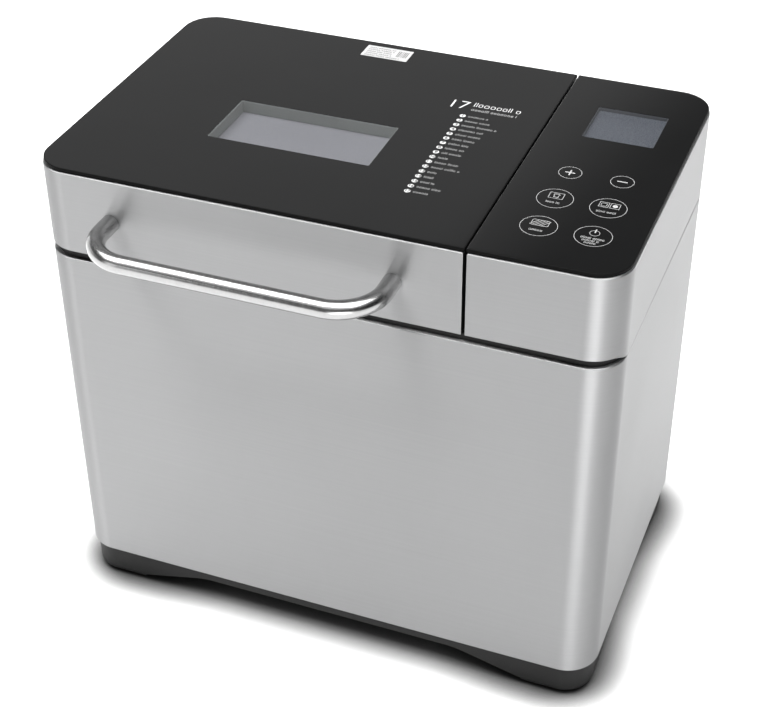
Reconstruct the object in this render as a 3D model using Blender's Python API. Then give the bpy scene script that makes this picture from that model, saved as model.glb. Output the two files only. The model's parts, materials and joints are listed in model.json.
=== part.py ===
"""Bread machine with a hinged lid, a lift-out pan, a kneading paddle and its belt drive.

Metres, +Z up. The machine stands on z = 0 with its front towards -Y. Everything is drawn in
the body's own plan, whose middle is the parent empty "machine"; that empty is moved back so
that the handle and the body together are centred on the origin.
"""
import math

import bmesh
import bpy
from mathutils import Matrix, Vector

# ---- driving dimensions -------------------------------------------------------------
WIDTH = 0.370                   # body, left to right
DEPTH = 0.231                   # body, front to back, without the handle
CORNER = 0.0222                 # upright corners of the body
SHELL_BOTTOM = 0.025
SHELL_TOP = 0.267
BAND_BOTTOM = 0.2724            # steel band round the lid and the control panel
BAND_TOP = 0.3276
GLASS_TOP = 0.3306
LID_RIGHT = 0.0920              # the lid ends here and the control panel starts
PANEL_LEFT = 0.0941
GAP = 0.0003                    # between pieces that touch
SHEET = 0.0008                  # steel sheet
SMALL_CORNER = 0.0020           # upright corners beside the slot between lid and panel

BASE_INSET = 0.0025
FOOT_BOTTOM = 0.0015
PLATE_BOTTOM = 0.0170           # floor plate of the base
PLATE_TOP = 0.0195
FOOT_X = 0.142                  # the feet reach inwards to here
FOOT_Y = 0.082
ARCH_X = 0.092                  # the arch between the feet is full height from here
ARCH_Y = 0.048
FOOT_STEP = 0.004
PAD_RADIUS = 0.008
PAD_X, PAD_Y = 0.161, 0.094

DECK_BOTTOM = 0.2580
DECK_TOP = BAND_BOTTOM - GAP
DECK_UNDER = 0.2655             # underside of the deck's plate
LEDGE_TOP = 0.2685              # low ledge of the deck behind the lid
LEDGE_FRONT = 0.1005

HINGE_Y, HINGE_Z = 0.109, 0.278
HINGE_XS = (-0.150, 0.057)
KNUCKLE_RADIUS = 0.0045
PIN_RADIUS = 0.0020
BRACKET_HALF = 0.0040
LUG_WIDTH = 0.0050
NOTCH_TOP = 0.2845

FRAME_INSET = 0.0015            # black carriers inside the steel bands
FRAME_WALL = 0.0025
FRAME_TOP = BAND_TOP - GAP
GLASS_BOTTOM = BAND_TOP + GAP
GLASS_INSET = 0.0004

WINDOW = (-0.0990, 0.0087, -0.0470, 0.0045)
PANE_TOP = 0.3219
PANE_BOTTOM = 0.3193
LCD_VIEW = (0.1180, 0.1630, 0.0338, 0.0757)

OVEN_X = -0.046                 # middle of the oven, the pan and the drive
OVEN_HALF_X, OVEN_HALF_Y = 0.104, 0.079
OVEN_CORNER = 0.028
OVEN_BOTTOM = 0.0740
OPENING_HALF_X, OPENING_HALF_Y = 0.102, 0.077
LINER_CEILING = 0.3060          # top of the metal cover under the lid

PAN_HALF_X, PAN_HALF_Y = 0.0915, 0.0660
PAN_CORNER = 0.026
PAN_BOTTOM = 0.0980
PAN_RIM = 0.2260
PAN_WALL = 0.0015
BAIL_PIVOT_Z = 0.2330
BAIL_WIRE = 0.0022
BAIL_REACH = 0.0640
BAIL_LEG_X = 0.0945
BAIL_TIP_X = 0.0840

SHAFT_RADIUS = 0.0040
BORE_RADIUS = SHAFT_RADIUS + GAP
SEAT_FLOOR = 0.0817
PADDLE_REACH = 0.0490

MOTOR_X = 0.137
BELT_BOTTOM, BELT_TOP = 0.0325, 0.0415
BELT_THICKNESS = 0.0020
SHELF_TOP = 0.0565              # the motor stands on this shelf
FAN_BOTTOM, FAN_TOP = 0.1225, 0.1295
STACK_BOTTOM, STACK_TOP = 0.0740, 0.1060        # iron core of the motor
SMALL_SEAT = 0.0092             # belt seats of the two pulleys: a 5 to 1 reduction
LARGE_SEAT = 0.0512
PULLEY_FLANGE = 0.0018

HANDLE_LEFT, HANDLE_RIGHT = -0.1320, 0.0502
HANDLE_Z = 0.2995
HANDLE_REACH = 0.0400           # face of the lid to the axis of the bar
HANDLE_BEND = 0.0280
HANDLE_RADIUS = 0.00575
SCREW_RADIUS = 0.0020

GROMMET_X, GROMMET_Z = 0.150, 0.055
GROMMET_BACK = DEPTH / 2 + 0.0017

ARC_STEPS = 4                   # facets in a large corner
TIGHT_CORNER = 0.006            # a smaller corner is one facet
ROUND = 24                      # sides of an ordinary turned piece

FRONT = -DEPTH / 2
BACK = DEPTH / 2
LEFT = -WIDTH / 2
RIGHT = WIDTH / 2
BODY_Y = (HANDLE_REACH + HANDLE_RADIUS + DEPTH / 2 - GROMMET_BACK) / 2

MATERIALS = {
    "steel": ((0.62, 0.62, 0.63), 1.0, 0.30),
    "polished_steel": ((0.75, 0.75, 0.76), 1.0, 0.12),
    "galvanised": ((0.55, 0.56, 0.57), 1.0, 0.45),
    "black_plastic": ((0.035, 0.035, 0.037), 0.0, 0.45),
    "grey_plastic": ((0.20, 0.21, 0.20), 0.0, 0.50),
    "black_glass": ((0.012, 0.012, 0.013), 0.0, 0.08),
    "frosted_glass": ((0.45, 0.46, 0.48), 0.0, 0.45),
    "rubber": ((0.02, 0.02, 0.02), 0.0, 0.80),
    "non_stick": ((0.06, 0.06, 0.065), 0.3, 0.40),
    "heater": ((0.16, 0.15, 0.14), 0.8, 0.50),
    "bronze": ((0.55, 0.38, 0.18), 1.0, 0.40),
    "circuit": ((0.05, 0.22, 0.09), 0.0, 0.55),
    "display": ((0.13, 0.15, 0.17), 0.0, 0.25),
    "white_plastic": ((0.75, 0.75, 0.72), 0.0, 0.50),
}


# ---- tools --------------------------------------------------------------------------
def clear_scene():
    for old in list(bpy.data.objects):
        bpy.data.objects.remove(old, do_unlink=True)


def material(name):
    found = bpy.data.materials.get(name)
    if found:
        return found
    color, metallic, roughness = MATERIALS[name]
    made = bpy.data.materials.new(name)
    made.use_nodes = True
    shader = made.node_tree.nodes["Principled BSDF"]
    shader.inputs["Base Color"].default_value = (*color, 1.0)
    shader.inputs["Metallic"].default_value = metallic
    shader.inputs["Roughness"].default_value = roughness
    made.diffuse_color = (*color, 1.0)
    return made


def pivot(name, parent, location):
    """An empty on a joint's axis, placed in the body's plan."""
    empty = bpy.data.objects.new(name, None)
    bpy.context.collection.objects.link(empty)
    if parent:
        empty.parent = parent
        location = Vector(location) - Vector(parent["at"])
    empty.location = location
    empty["at"] = list(location) if not parent else list(Vector(location) + Vector(parent["at"]))
    return empty


def loft(name, rings, closed, surface, parent):
    """Skins equal rings of points: round and round when closed, capped at both ends if not."""
    mesh = bmesh.new()
    rows = [[mesh.verts.new(point) for point in ring] for ring in rings]
    pairs = list(zip(rows, rows[1:]))
    if closed:
        pairs.append((rows[-1], rows[0]))
    else:
        mesh.faces.new(reversed(rows[0]))
        mesh.faces.new(rows[-1])
    for lower, upper in pairs:
        for i in range(len(lower)):
            j = (i + 1) % len(lower)
            mesh.faces.new((lower[i], lower[j], upper[j], upper[i]))
    bmesh.ops.recalc_face_normals(mesh, faces=mesh.faces)
    data = bpy.data.meshes.new(name)
    mesh.to_mesh(data)
    mesh.free()
    data.materials.append(material(surface))
    data.shade_smooth()
    data.set_sharp_from_angle(angle=math.radians(32))
    item = bpy.data.objects.new(name, data)
    bpy.context.collection.objects.link(item)
    item.parent = parent
    item.matrix_parent_inverse = Matrix.Translation(-Vector(parent["at"]))
    return item


def plan(x0, x1, y0, y1, radii):
    """A rectangle with a radius at its front-right, back-right, back-left and front-left."""
    if isinstance(radii, float):
        radii = (radii,) * 4
    return x0, x1, y0, y1, radii


def centred_plan(x, half_x, half_y, radius):
    return plan(x - half_x, x + half_x, -half_y, half_y, radius)


def outline(shape, inset, z):
    x0, x1, y0, y1, radii = shape
    x0, x1, y0, y1 = x0 + inset, x1 - inset, y0 + inset, y1 - inset
    corners = ((x1, y0, 1, -1), (x1, y1, 1, 1), (x0, y1, -1, 1), (x0, y0, -1, -1))
    points = []
    for index, (x, y, side_x, side_y) in enumerate(corners):
        radius = max(radii[index] - inset, 0.0004)
        steps = ARC_STEPS if radii[index] > TIGHT_CORNER else 1
        for step in range(steps + 1):
            turn = math.radians(90 * (index - 1 + step / steps))
            points.append((x - side_x * radius + radius * math.cos(turn),
                           y - side_y * radius + radius * math.sin(turn), z))
    return points


def walled(name, shape, section, closed, surface, parent):
    """A piece whose section, (inset, z) points, runs round a rounded rectangle."""
    return loft(name, [outline(shape, inset, z) for inset, z in section], closed, surface, parent)


def turned(name, centre, profile, closed, surface, parent, axis="Z", sides=ROUND):
    """A turned piece: profile is (radius, distance along the axis) from the centre."""
    spin = {"X": Matrix.Rotation(math.pi / 2, 3, "Y"),
            "Y": Matrix.Rotation(-math.pi / 2, 3, "X"),
            "Z": Matrix.Identity(3)}[axis]
    rings = []
    for radius, along in profile:
        ring = []
        for side in range(sides):
            turn = 2 * math.pi * side / sides
            point = Vector((radius * math.cos(turn), radius * math.sin(turn), along))
            ring.append(spin @ point + Vector(centre))
        rings.append(ring)
    return loft(name, rings, closed, surface, parent)


def rod(name, centre, radius, low, high, surface, parent, axis="Z", sides=ROUND):
    return turned(name, centre, [(radius, low), (radius, high)], False, surface, parent, axis, sides)


def prism(name, points, low, high, surface, parent, axis="Z"):
    """Flat outline pushed along an axis. Points are the other two coordinates, in XYZ order."""
    def place(a, b, along):
        return {"X": (along, a, b), "Y": (a, along, b), "Z": (a, b, along)}[axis]
    rings = [[place(a, b, along) for a, b in points] for along in (low, high)]
    return loft(name, rings, False, surface, parent)


def block(name, low, high, surface, parent):
    points = [(low[0], low[1]), (high[0], low[1]), (high[0], high[1]), (low[0], high[1])]
    return prism(name, points, low[2], high[2], surface, parent)


def swept(name, path, radius, sides, surface, parent):
    """A round bar along a path, its section carried along without twist."""
    path = [Vector(point) for point in path]
    tangents = []
    for index in range(len(path)):
        before = path[max(index - 1, 0)]
        after = path[min(index + 1, len(path) - 1)]
        tangents.append((after - before).normalized())
    across = tangents[0].orthogonal().normalized()
    rings = []
    for point, tangent in zip(path, tangents):
        across = (across - tangent * across.dot(tangent)).normalized()
        other = tangent.cross(across)
        ring = []
        for side in range(sides):
            turn = 2 * math.pi * side / sides
            ring.append(point + radius * (math.cos(turn) * across + math.sin(turn) * other))
        rings.append(ring)
    return loft(name, rings, False, surface, parent)


def rounded_path(corners, radii, steps):
    """Straight runs between corners, each corner replaced by an arc of its own radius."""
    corners = [Vector(corner) for corner in corners]
    path = [corners[0]]
    for before, corner, after, radius in zip(corners, corners[1:], corners[2:], radii):
        arrive = (corner - before).normalized()
        leave = (after - corner).normalized()
        half = arrive.angle(leave) / 2
        reach = radius * math.tan(half)
        middle = corner + (leave - arrive).normalized() * radius / math.cos(half)
        first = corner - arrive * reach - middle
        turn_axis = arrive.cross(leave).normalized()
        for step in range(steps + 1):
            path.append(middle + Matrix.Rotation(2 * half * step / steps, 3, turn_axis) @ first)
    path.append(corners[-1])
    return path


def shape_by(target, tool, operation):
    """Cuts the tool out of the target, or joins it on, and keeps the tool as a guide only."""
    tool.hide_render = True
    tool.display_type = "WIRE"
    modifier = target.modifiers.new(tool.name, "BOOLEAN")
    modifier.operation = operation
    modifier.solver = "EXACT"
    modifier.object = tool


def cut(target, tool):
    shape_by(target, tool, "DIFFERENCE")


def join(target, tool):
    shape_by(target, tool, "UNION")


# ---- base and casing ----------------------------------------------------------------
BODY_PLAN = plan(LEFT, RIGHT, FRONT, BACK, CORNER)
LID_PLAN = plan(LEFT, LID_RIGHT, FRONT, BACK, (SMALL_CORNER, SMALL_CORNER, CORNER, CORNER))
PANEL_PLAN = plan(PANEL_LEFT, RIGHT, FRONT, BACK, (CORNER, CORNER, SMALL_CORNER, SMALL_CORNER))


def arch_outline(foot, arch):
    """The hollow between two feet: a small step at each foot, then a long slope."""
    return [(-foot, -0.01), (foot, -0.01), (foot, FOOT_BOTTOM), (foot - FOOT_STEP, FOOT_STEP + FOOT_BOTTOM),
            (arch, PLATE_BOTTOM), (-arch, PLATE_BOTTOM),
            (FOOT_STEP - foot, FOOT_STEP + FOOT_BOTTOM), (-foot, FOOT_BOTTOM)]


def make_base(machine):
    edge = 0.005
    section = [(BASE_INSET + edge, FOOT_BOTTOM)]
    for turn in (30, 60, 90):
        angle = math.radians(turn)
        section.append((BASE_INSET + edge * (1 - math.sin(angle)),
                        FOOT_BOTTOM + edge * (1 - math.cos(angle))))
    section += [(BASE_INSET, 0.035), (BASE_INSET + 0.0025, 0.035), (BASE_INSET + 0.0025, PLATE_TOP)]
    base = walled("base_tray", BODY_PLAN, section, False, "black_plastic", machine)
    cut(base, prism("arch_front_back", arch_outline(FOOT_X, ARCH_X), -0.2, 0.2,
                    "black_plastic", machine, "Y"))
    cut(base, prism("arch_sides", arch_outline(FOOT_Y, ARCH_Y), -0.3, 0.3,
                    "black_plastic", machine, "X"))
    for side_x, word_x in ((-1, "left"), (1, "right")):
        for side_y, word_y in ((-1, "front"), (1, "back")):
            centre = (side_x * PAD_X, side_y * PAD_Y, 0)
            cut(base, rod(f"pad_recess_{word_y}_{word_x}", centre, PAD_RADIUS + GAP, -0.01,
                          0.0035 + GAP, "black_plastic", machine, sides=16))
            turned(f"foot_pad_{word_y}_{word_x}", centre,
                   [(PAD_RADIUS - 0.001, 0), (PAD_RADIUS, 0.001), (PAD_RADIUS, 0.0035)],
                   False, "rubber", machine, sides=16)
    for index in range(5):
        x = MOTOR_X - 0.028 + 0.014 * index
        cut(base, block(f"floor_vent_{index}", (x - 0.002, -0.030, 0.01), (x + 0.002, 0.030, 0.03),
                        "black_plastic", machine))


def make_shell(machine):
    section = [(0, SHELL_BOTTOM), (0, SHELL_TOP - 0.0016), (0.0005, SHELL_TOP - 0.0005),
               (0.0016, SHELL_TOP), (0.005, SHELL_TOP), (0.005, SHELL_TOP - SHEET),
               (SHEET, SHELL_TOP - SHEET), (SHEET, SHELL_BOTTOM)]
    shell = walled("body_shell", BODY_PLAN, section, True, "steel", machine)
    for index in range(7):
        z = 0.120 + 0.009 * index
        cut(shell, block(f"back_vent_{index}", (0.108, BACK - 0.01, z - 0.0015),
                         (0.164, BACK + 0.01, z + 0.0015), "steel", machine))
    cut(shell, rod("grommet_hole", (GROMMET_X, 0, GROMMET_Z), 0.0080, BACK - 0.01, BACK + 0.01,
                   "steel", machine, "Y", 16))
    bore, groove, flange = 0.0035, 0.0077, 0.0105
    inner, wall_in, wall_out = BACK - 0.0040, BACK - SHEET - GAP, BACK + GAP
    profile = [(bore, inner), (flange, inner), (flange, wall_in), (groove, wall_in),
               (groove, wall_out), (flange, wall_out), (flange - 0.001, GROMMET_BACK),
               (bore, GROMMET_BACK)]
    turned("cord_grommet", (GROMMET_X, 0, GROMMET_Z), profile, True, "black_plastic", machine,
           "Y", 16)


def make_deck(machine):
    lip, skirt = 0.0028, 0.0070
    section = [(lip, DECK_TOP), (lip, SHELL_TOP + GAP), (skirt, SHELL_TOP + GAP),
               (skirt, DECK_BOTTOM), (skirt + 0.0025, DECK_BOTTOM), (skirt + 0.0025, DECK_UNDER)]
    deck = walled("top_deck", BODY_PLAN, section, False, "black_plastic", machine)
    opening = centred_plan(OVEN_X, OPENING_HALF_X, OPENING_HALF_Y, OVEN_CORNER - 0.002)
    cut(deck, walled("oven_opening", opening, [(0, 0.2), (0, 0.3)], False, "steel", machine))
    wiring = plan(0.104, 0.172, -0.090, 0.090, 0.008)
    cut(deck, walled("wiring_opening", wiring, [(0, 0.2), (0, 0.3)], False, "steel", machine))
    cut(deck, block("rear_ledge", (LEFT - 0.01, LEDGE_FRONT, LEDGE_TOP),
                    (PANEL_LEFT - 0.0005, BACK + 0.01, 0.3), "steel", machine))


def knuckle(name, x0, x1, bottom, top, surface, parent):
    """A hinge eye: a plate that is round about the hinge axis at one end."""
    sweep = range(0, 181, 30)
    if bottom is None:
        points = [(HINGE_Y + KNUCKLE_RADIUS * math.cos(math.radians(180 + turn)),
                   HINGE_Z + KNUCKLE_RADIUS * math.sin(math.radians(180 + turn))) for turn in sweep]
        points += [(HINGE_Y + KNUCKLE_RADIUS, top), (HINGE_Y - KNUCKLE_RADIUS, top)]
    else:
        points = [(HINGE_Y + KNUCKLE_RADIUS * math.cos(math.radians(turn)),
                   HINGE_Z + KNUCKLE_RADIUS * math.sin(math.radians(turn))) for turn in sweep]
        points += [(HINGE_Y - KNUCKLE_RADIUS, bottom), (HINGE_Y + KNUCKLE_RADIUS, bottom)]
    return prism(name, points, x0, x1, surface, parent, "X")


def pin_bore(name, x, parent):
    half = BRACKET_HALF + LUG_WIDTH + 0.01
    return rod(name, (0, HINGE_Y, HINGE_Z), PIN_RADIUS + GAP, x - half, x + half,
               "galvanised", parent, "X", 12)


def make_hinge_brackets(machine):
    for x, word in zip(HINGE_XS, ("left", "right")):
        bracket = knuckle(f"hinge_bracket_{word}", x - BRACKET_HALF, x + BRACKET_HALF,
                          LEDGE_TOP + GAP, None, "galvanised", machine)
        cut(bracket, pin_bore(f"bracket_bore_{word}", x, machine))


# ---- control panel ------------------------------------------------------------------
def band_section():
    edge = SHEET / 2
    return [(0, BAND_BOTTOM), (0, BAND_TOP - edge), (edge, BAND_TOP), (SHEET, BAND_TOP),
            (SHEET, BAND_BOTTOM)]


def carrier_section():
    inner = FRAME_INSET + FRAME_WALL
    return [(FRAME_INSET, FRAME_TOP), (FRAME_INSET, BAND_BOTTOM + GAP), (inner, BAND_BOTTOM + GAP),
            (inner, FRAME_TOP - FRAME_WALL)]


def glass_section():
    return [(GLASS_INSET, GLASS_BOTTOM), (GLASS_INSET, GLASS_TOP - 0.0006),
            (GLASS_INSET + 0.0006, GLASS_TOP)]


def make_panel(machine):
    walled("panel_band", PANEL_PLAN, band_section(), True, "steel", machine)
    frame = walled("panel_frame", PANEL_PLAN, carrier_section(), False, "black_plastic", machine)
    view = plan(*LCD_VIEW, 0.001)
    cut(frame, walled("lcd_opening", view, [(0, 0.32), (0, 0.34)], False, "steel", machine))
    walled("panel_glass", PANEL_PLAN, glass_section(), False, "black_glass", machine)
    x0, x1, y0, y1 = LCD_VIEW
    top = FRAME_TOP - FRAME_WALL - GAP
    block("lcd_module", (x0 - 0.004, y0 - 0.003, top - 0.0065), (x1 + 0.004, y1 + 0.003, top),
          "display", machine)
    board_top = top - 0.0065 - GAP
    board = block("control_board", (0.104, -0.098, board_top - 0.0016), (0.176, 0.090, board_top),
                  "circuit", machine)
    for index, (y, length, drop) in enumerate(((-0.070, 0.030, 0.010), (0.0, 0.024, 0.006),
                                               (0.055, 0.016, 0.012))):
        join(board, block(f"board_chip_{index}", (0.116, y - length / 2, board_top - drop),
                          (0.150, y + length / 2, board_top - 0.0008), "circuit", machine))


# ---- lid ----------------------------------------------------------------------------
def notch(name, x, half, parent):
    """The gap in the back of the lid that a hinge bracket stands in."""
    return block(name, (x - half, HINGE_Y - 0.0065, BAND_BOTTOM - 0.01),
                 (x + half, BACK + 0.01, NOTCH_TOP), "steel", parent)


def make_lid(lid):
    band = walled("lid_band", LID_PLAN, band_section(), True, "steel", lid)
    frame = walled("lid_frame", LID_PLAN, carrier_section(), False, "black_plastic", lid)
    window = plan(*WINDOW, 0.001)
    cut(frame, walled("frame_window", window, [(0, 0.32), (0, 0.34)], False, "steel", lid))
    for x, word in zip(HINGE_XS, ("left", "right")):
        for side in (-1, 1):
            near = x + side * (BRACKET_HALF + 2 * GAP)
            far = near + side * LUG_WIDTH
            join(frame, knuckle(f"lug_{word}_{side}", min(near, far), max(near, far), None,
                                FRAME_TOP - 0.001, "black_plastic", lid))
        cut(frame, notch(f"frame_notch_{word}", x, BRACKET_HALF + 2 * GAP, lid))
        cut(frame, pin_bore(f"lug_bore_{word}", x, lid))
        cut(band, notch(f"band_notch_{word}", x, BRACKET_HALF + 7 * GAP, lid))
        half = BRACKET_HALF + LUG_WIDTH
        rod(f"hinge_pin_{word}", (0, HINGE_Y, HINGE_Z), PIN_RADIUS, x - half, x + half,
            "polished_steel", lid, "X", 12)
    walled("lid_glass", LID_PLAN, glass_section(), False, "black_glass", lid)
    make_window(window, lid)
    make_liner_cover(window, lid)
    make_handle(band, frame, lid)


def make_window(window, lid):
    low, high = LINER_CEILING + GAP, FRAME_TOP - FRAME_WALL - GAP
    recess = -0.0015
    section = [(-0.0035, low), (-0.0035, high), (0, high), (0, PANE_TOP + GAP),
               (recess, PANE_TOP + GAP), (recess, PANE_BOTTOM - GAP), (0, PANE_BOTTOM - GAP), (0, low)]
    walled("window_frame", window, section, True, "grey_plastic", lid)
    walled("window_pane", window, [(recess + GAP, PANE_BOTTOM), (recess + GAP, PANE_TOP)], False,
           "frosted_glass", lid)


def make_liner_cover(window, lid):
    """The metal cover under the lid: a hollow tray, open downwards, with a wide flange."""
    flange = plan(LEFT + 0.0055, LID_RIGHT - 0.0055, FRONT + 0.0055, 0.098,
                  (0.007, 0.007, CORNER - 0.005, CORNER - 0.005))
    tray = centred_plan(OVEN_X, OVEN_HALF_X + 0.002, OVEN_HALF_Y + 0.002, OVEN_CORNER)
    flange_top, flange_bottom = 0.2742, 0.2730
    rings = [outline(tray, 0.004, LINER_CEILING), outline(tray, 0, LINER_CEILING - 0.004),
             outline(tray, 0, flange_top), outline(flange, 0, flange_top),
             outline(flange, 0, flange_bottom), outline(tray, SHEET, flange_bottom),
             outline(tray, SHEET, LINER_CEILING - 0.004 - SHEET / 2),
             outline(tray, 0.004 + SHEET / 2, LINER_CEILING - SHEET)]
    cover = loft("lid_liner", rings, False, "galvanised", lid)
    cut(cover, walled("cover_window", window, [(0, 0.29), (0, 0.32)], False, "steel", lid))


def make_handle(band, frame, lid):
    root_y = FRONT - GAP
    bar_y = FRONT - HANDLE_REACH
    corners = [(HANDLE_LEFT, root_y, HANDLE_Z), (HANDLE_LEFT, bar_y, HANDLE_Z),
               (HANDLE_RIGHT, bar_y, HANDLE_Z), (HANDLE_RIGHT, root_y, HANDLE_Z)]
    path = rounded_path(corners, (HANDLE_BEND, HANDLE_BEND), 8)
    handle = swept("handle", path, HANDLE_RADIUS, 12, "polished_steel", lid)
    head_y = FRONT + FRAME_INSET + FRAME_WALL + GAP
    for x, word in ((HANDLE_LEFT, "left"), (HANDLE_RIGHT, "right")):
        tip = FRONT - 0.010
        for target, role in ((handle, "handle"), (band, "band"), (frame, "frame")):
            cut(target, rod(f"{role}_screw_hole_{word}", (x, 0, HANDLE_Z), SCREW_RADIUS + GAP,
                            tip - 0.001, head_y + 0.02, "steel", lid, "Y", 12))
        turned(f"handle_screw_{word}", (x, 0, HANDLE_Z),
               [(SCREW_RADIUS, tip), (SCREW_RADIUS, head_y), (0.0040, head_y),
                (0.0040, head_y + 0.0018), (0.0026, head_y + 0.0028)],
               False, "polished_steel", lid, "Y", 12)


# ---- oven ---------------------------------------------------------------------------
HEATER_Z = 0.088
HEATER_RADIUS = 0.0033
HEATER_HALF_X, HEATER_HALF_Y = 0.094, 0.068
TERMINAL_Y = 0.012
SENSOR_X, SENSOR_Z = -0.080, 0.112


def make_oven(machine):
    oven = centred_plan(OVEN_X, OVEN_HALF_X, OVEN_HALF_Y, OVEN_CORNER)
    rim = DECK_UNDER - GAP
    edge = 0.003
    section = [(edge - SHEET / 2, OVEN_BOTTOM), (-SHEET, OVEN_BOTTOM + edge), (-SHEET, rim - SHEET),
               (-0.009, rim - SHEET), (-0.009, rim), (0, rim), (0, OVEN_BOTTOM + SHEET + edge),
               (edge, OVEN_BOTTOM + SHEET)]
    liner = walled("oven_liner", oven, section, False, "galvanised", machine)
    cut(liner, rod("shaft_hole", (OVEN_X, 0, 0), 0.010, 0.06, 0.10, "steel", machine, sides=20))
    wall_x = OVEN_X + OVEN_HALF_X
    for side in (-1, 1):
        cut(liner, rod(f"terminal_hole_{side}", (0, side * TERMINAL_Y, HEATER_Z), 0.0045,
                       wall_x - 0.01, wall_x + 0.01, "steel", machine, "X", 12))
    cut(liner, rod("sensor_hole", (SENSOR_X, 0, SENSOR_Z), 0.0036, -OVEN_HALF_Y - 0.01,
                   -OVEN_HALF_Y + 0.01, "steel", machine, "Y", 12))
    turned("temperature_sensor", (SENSOR_X, 0, SENSOR_Z),
           [(0.0060, -OVEN_HALF_Y - 0.0060), (0.0060, -OVEN_HALF_Y - SHEET - GAP),
            (0.0030, -OVEN_HALF_Y - SHEET - GAP), (0.0030, -OVEN_HALF_Y + 0.009),
            (0.0018, -OVEN_HALF_Y + 0.011)], False, "polished_steel", machine, "Y", 12)
    make_heater(machine)
    make_clips(machine)
    turned("pan_seat", (OVEN_X, 0, 0),
           [(0.020, OVEN_BOTTOM + SHEET + GAP), (0.044, OVEN_BOTTOM + SHEET + GAP), (0.044, 0.088),
            (0.0405, 0.088), (0.0405, SEAT_FLOOR), (0.020, SEAT_FLOOR)], True, "galvanised", machine)


def make_heater(machine):
    right = OVEN_X + HEATER_HALF_X
    left = OVEN_X - HEATER_HALF_X
    end = OVEN_X + OVEN_HALF_X + 0.012
    corners = [(end, TERMINAL_Y), (right, TERMINAL_Y), (right, HEATER_HALF_Y),
               (left, HEATER_HALF_Y), (left, -HEATER_HALF_Y), (right, -HEATER_HALF_Y),
               (right, -TERMINAL_Y), (end, -TERMINAL_Y)]
    corners = [(x, y, HEATER_Z) for x, y in corners]
    bend = 0.022
    path = rounded_path(corners, (0.008, bend, bend, bend, bend, 0.008), 4)
    swept("heating_element", path, HEATER_RADIUS, 8, "heater", machine)


def make_clips(machine):
    """Two leaf springs on the long walls that press on the pan."""
    wall, crest, thick = OVEN_HALF_Y - GAP, 0.0602, 0.0008
    for side, word in ((-1, "front"), (1, "back")):
        spine = [(wall - thick, 0.208), (wall - thick, 0.196), (crest, 0.168), (crest, 0.160),
                 (wall - thick, 0.130), (wall - thick, 0.118)]
        points = [(side * (y + thick), z) for y, z in spine] + \
                 [(side * y, z) for y, z in reversed(spine)]
        prism(f"pan_clip_{word}", points, OVEN_X - 0.010, OVEN_X + 0.010, "polished_steel",
              machine, "X")


# ---- pan ----------------------------------------------------------------------------
def make_pan(pan):
    shape = centred_plan(OVEN_X, PAN_HALF_X, PAN_HALF_Y, PAN_CORNER)
    lip, draft, foot = 0.005, 0.003, 0.004
    section = [(lip + draft + foot, PAN_BOTTOM), (lip + draft, PAN_BOTTOM + foot),
               (lip, PAN_RIM - PAN_WALL), (0, PAN_RIM - PAN_WALL), (0, PAN_RIM),
               (lip + PAN_WALL, PAN_RIM), (lip + draft + PAN_WALL, PAN_BOTTOM + foot + PAN_WALL),
               (lip + draft + foot + PAN_WALL, PAN_BOTTOM + PAN_WALL)]
    body = walled("bread_pan", shape, section, False, "non_stick", pan)
    cut(body, rod("bush_hole", (OVEN_X, 0, 0), 0.009, 0.09, 0.11, "steel", pan, sides=20))
    ring_top = PAN_BOTTOM - GAP
    turned("pan_base_ring", (OVEN_X, 0, 0),
           [(0.034, SEAT_FLOOR + GAP), (0.038, SEAT_FLOOR + GAP), (0.038, ring_top - 0.003),
            (0.044, ring_top - 0.002), (0.044, ring_top), (0.034, ring_top)],
           True, "galvanised", pan)
    turned("pan_bush", (OVEN_X, 0, 0),
           [(BORE_RADIUS, 0.0915), (0.0087, 0.0915), (0.0087, 0.0945), (0.0130, 0.0945),
            (0.0130, ring_top), (0.0087, ring_top), (0.0087, 0.1006), (BORE_RADIUS, 0.1006)],
           True, "bronze", pan, sides=20)
    for side, word in ((-1, "left"), (1, "right")):
        radius = 0.007
        points = [(radius * math.cos(math.radians(turn)),
                   BAIL_PIVOT_Z + radius * math.sin(math.radians(turn)))
                  for turn in range(0, 181, 20)]
        points += [(-0.010, PAN_RIM + 0.003), (-0.010, PAN_RIM + GAP), (0.010, PAN_RIM + GAP),
                   (0.010, PAN_RIM + 0.003)]
        x = OVEN_X + side * 0.0893
        bracket = prism(f"bail_bracket_{word}", points, x - 0.0008, x + 0.0008,
                        "polished_steel", pan, "X")
        cut(bracket, rod(f"bail_hole_{word}", (0, 0, BAIL_PIVOT_Z), BAIL_WIRE + GAP, x - 0.01,
                         x + 0.01, "steel", pan, "X", 12))


def bail_tilt():
    """The folded bail leans down until its bar lies just above the pan's rim."""
    rest_height = PAN_RIM + BAIL_WIRE + 0.0004
    return math.asin((BAIL_PIVOT_Z - rest_height) / BAIL_REACH)


def make_bail(bail):
    reach_y = BAIL_REACH * math.cos(bail_tilt())
    reach_z = BAIL_PIVOT_Z - BAIL_REACH * math.sin(bail_tilt())
    corners = []
    for side in (-1, 1):
        half = [(OVEN_X + side * BAIL_TIP_X, 0, BAIL_PIVOT_Z),
                (OVEN_X + side * BAIL_LEG_X, 0, BAIL_PIVOT_Z),
                (OVEN_X + side * BAIL_LEG_X, reach_y, reach_z)]
        corners += half if side < 0 else reversed(half)
    path = rounded_path(corners, (0.0035, 0.012, 0.012, 0.0035), 3)
    swept("pan_bail", path, BAIL_WIRE, 8, "polished_steel", bail)


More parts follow.
